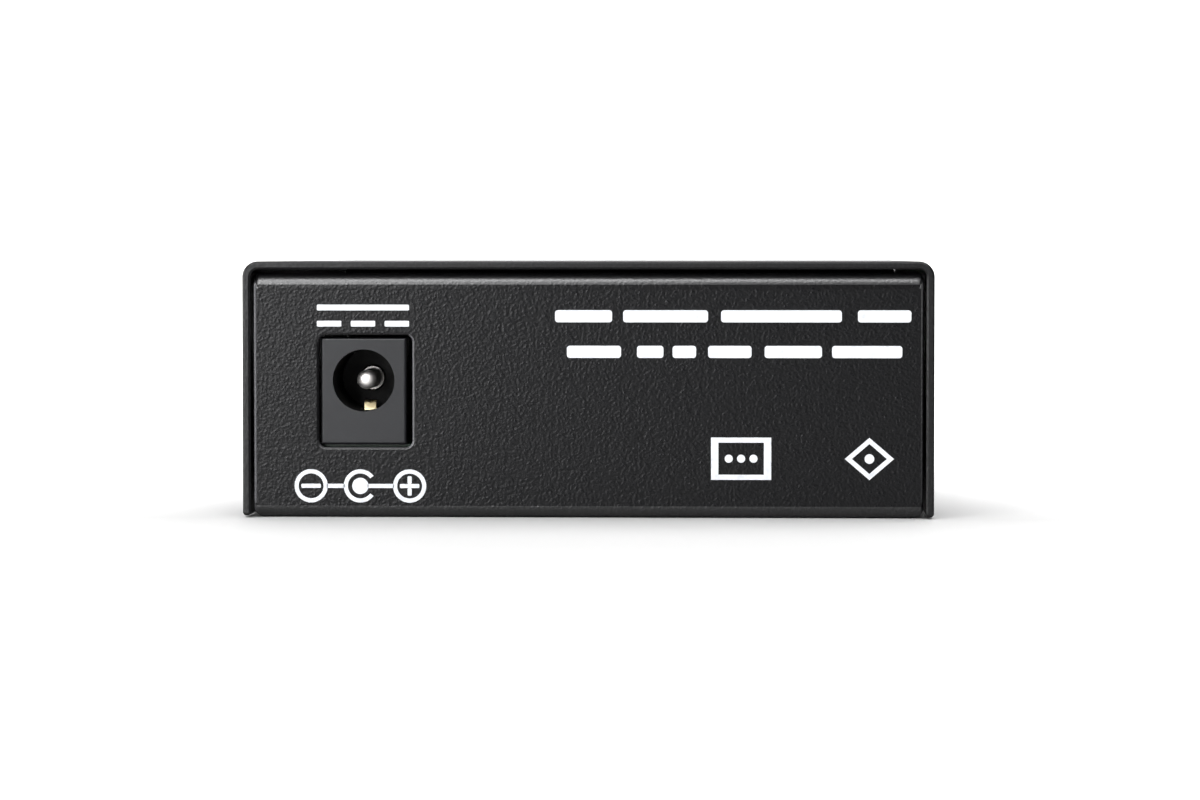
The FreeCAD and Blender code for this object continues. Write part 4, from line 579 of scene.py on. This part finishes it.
def print_polarity_sign():
    """Minus, sleeve arc, centre dot and plus: the sign for a plug with a positive centre."""
    x, _, _ = middle_of("jack_housing")
    panel_low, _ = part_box("base_chassis")
    sign = Print("print_polarity", x - 0.3 * MM, panel_low[2] + 3.2 * MM)
    reach, radius, dot, opening = 5.02, 1.7, 0.84, 37
    for side in (-1, 1):
        sign.ring(side * reach, 0, radius, STROKE)
        sign.bar(side * reach, 0, 2.0, STROKE)
    upright = 1 - STROKE / 2
    for side in (-1, 1):
        sign.bar(reach, side * (upright + STROKE) / 2, STROKE, upright)
    sign.ring(0, 0, radius, STROKE, opening, 360 - opening)
    sign.disc(0, 0, dot)
    overlap = 0.1
    left, right = -reach + radius - overlap, -radius + overlap
    sign.bar((left + right) / 2, 0, right - left, STROKE)
    left, right = dot - overlap, reach - radius + overlap
    sign.bar((left + right) / 2, 0, right - left, STROKE)
    sign.done()


def print_word_bars():
    """Two rows of plain bars in place of small print; starts and lengths are millimetres."""
    x, _, _ = middle_of("base_chassis")
    _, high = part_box("jack_housing")
    rows = Print("print_small_bars", x, high[2] + 2.2 * MM)
    height, corner, second_row = 1.25, 0.3, -3.6
    for rise, words in (
        (0, ((-3.3, 5.8), (3.6, 8.6), (13.5, 12.2), (27.3, 5.4))),
        (second_row, ((-2.1, 5.5), (5.0, 2.7), (8.6, 2.4), (12.2, 4.4), (17.9, 5.8), (24.7, 7.1))),
    ):
        for start, length in words:
            rows.bar(start + length / 2, rise, length, height, corner)
    rows.done()


def print_plain_marks():
    """Two plain marks low on the right: a frame with three dots and a diamond with one."""
    x, _, _ = middle_of("base_chassis")
    panel_low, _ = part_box("base_chassis")
    marks = Print("print_plain_marks", x, panel_low[2] + 6.05 * MM)
    left, right, half_height = 15.55, 28.5, 2.15
    wide, narrow = 3.05, 2.5
    marks.frame_of([
        (left - wide, -half_height), (left + wide, -half_height),
        (left + wide, half_height), (left - wide, half_height),
    ], 0.25)
    for offset in (-1.25, 0, 1.25):
        marks.disc(left + offset, 0, 0.42)
    marks.frame_of([
        (right - narrow, 0), (right, -half_height), (right + narrow, 0), (right, half_height),
    ], 0.3)
    marks.disc(right, 0, 0.5)
    marks.done()


# ---------------------------------------------------------------- floor, light and camera


def white_studio():
    """A pale sweep of floor and back wall that glows behind the panel, as a light table does."""
    low, high = cad_bounds
    before, behind, height, bend, half_width = 1.2, 1.6, 1.2, 0.35, 2.2
    back = high[1] + behind
    profile = [(low[1] - before, 0), (back - bend, 0)]
    profile += [
        (back - bend + bend * math.sin(a), bend - bend * math.cos(a))
        for a in (math.radians(15 * step) for step in range(1, 7))
    ]
    profile.append((back, height))
    mesh = bmesh.new()
    left, right = (
        [mesh.verts.new((x, y, z + low[2])) for y, z in profile] for x in (-half_width, half_width)
    )
    for index in range(len(profile) - 1):
        face = mesh.faces.new((left[index], right[index], right[index + 1], left[index + 1]))
        face.smooth = True
    data = bpy.data.meshes.new("floor")
    mesh.to_mesh(data)
    mesh.free()
    shader = Shader("white_paper", Metallic=0.0, Roughness=0.7, Emission_Color=(1, 1, 1, 1))
    shader.feed("Base Color", shader.colours(
        shader.noise(0.4), (0.56, 0.56, 0.56), (0.58, 0.58, 0.58),
    ))
    depth = shader.node("SeparateXYZ", [("Vector", shader.position)]).outputs["Y"]
    full_glow, fade = 0.5, 60 * MM
    shader.feed("Emission Strength", shader.spread(depth, 0, full_glow, low[1], low[1] + fade))
    data.materials.append(shader.material)
    floor = bpy.data.objects.new("floor", data)
    bpy.context.scene.collection.objects.link(floor)


def aimed(place, target):
    """Placement of something at a point whose -Z axis looks at another."""
    away = Vector(place) - Vector(target)
    turn = away.to_track_quat("Z", "Y").to_matrix().to_4x4()
    return Matrix.Translation(place) @ turn


def area_light(name, place, target, size, watts, gloss_only=False):
    """A soft rectangular lamp aimed at a point; one for gloss only leaves matt surfaces dark."""
    data = bpy.data.lights.new(name, "AREA")
    data.shape = "RECTANGLE"
    data.size, data.size_y = size
    data.energy = watts
    light = bpy.data.objects.new(name, data)
    light.matrix_world = aimed(place, target)
    light.visible_diffuse = not gloss_only
    bpy.context.scene.collection.objects.link(light)


def studio_lights():
    """Lamps for the floor, the back wall and the panel, and three that only show as gloss."""
    panel = cad_bounds[0][1]
    middle = 12 * MM
    area_light("overhead", (0, 0.25, 1.0), (0, 0.25, 0), (1.8, 1.4), watts=19)
    area_light("back_wall", (0, 0.9, 1.1), (0, 1.6, 0.45), (2.4, 0.5), watts=26)
    area_light("fill", (-0.06, panel - 0.55, 0.55), (0, panel, 0.01), (0.9, 0.4), watts=6)
    area_light(
        "strip", (-0.06, panel - 0.33, 0.34), (0, panel, 0.02), (0.4, 0.18),
        watts=0.7, gloss_only=True,
    )
    area_light(
        "card", (-0.21, panel - 0.34, 0.10), (-0.02, panel, middle), (0.30, 0.20),
        watts=1.5, gloss_only=True,
    )
    area_light(
        "side", (-0.34, panel - 0.05, 0.08), (-0.03, panel, middle), (0.22, 0.18),
        watts=0.8, gloss_only=True,
    )


def dim_world():
    """Faint even light from all round, and the picture's tone curve."""
    world = bpy.data.worlds.new("studio")
    world.use_nodes = True
    background = world.node_tree.nodes["Background"]
    background.inputs["Color"].default_value = (1, 1, 1, 1)
    background.inputs["Strength"].default_value = 0.06
    bpy.context.scene.world = world
    view = bpy.context.scene.view_settings
    view.view_transform = "Standard"
    view.gamma = 0.8


def rear_camera():
    """A long lens just above the roof's height, a little right of the middle of the rear panel."""
    distance, lens, sensor, near = 0.39, 115.8, 36, 0.01
    turn, fall = math.radians(2.4), math.radians(2.15)
    low, _ = cad_bounds
    target = Vector((1.3 * MM, low[1], low[2] + 12.0 * MM))
    way = Vector((
        math.sin(turn) * math.cos(fall), -math.cos(turn) * math.cos(fall), math.sin(fall)
    ))
    data = bpy.data.cameras.new("camera")
    data.sensor_width = sensor
    data.lens = lens
    data.clip_start = near
    camera = bpy.data.objects.new("camera", data)
    camera.matrix_world = aimed(target + way * distance, target)
    bpy.context.scene.collection.objects.link(camera)
    bpy.context.scene.camera = camera


dress_all_nodes()
paint_fold_and_edge_highlights()
paint_bore_shade()
shade_collar_of_pin()
bridge_seams()
coat_top_fold()
bead_sides()
print_direct_current_mark()
print_polarity_sign()
print_word_bars()
print_plain_marks()
white_studio()
studio_lights()
dim_world()
rear_camera()
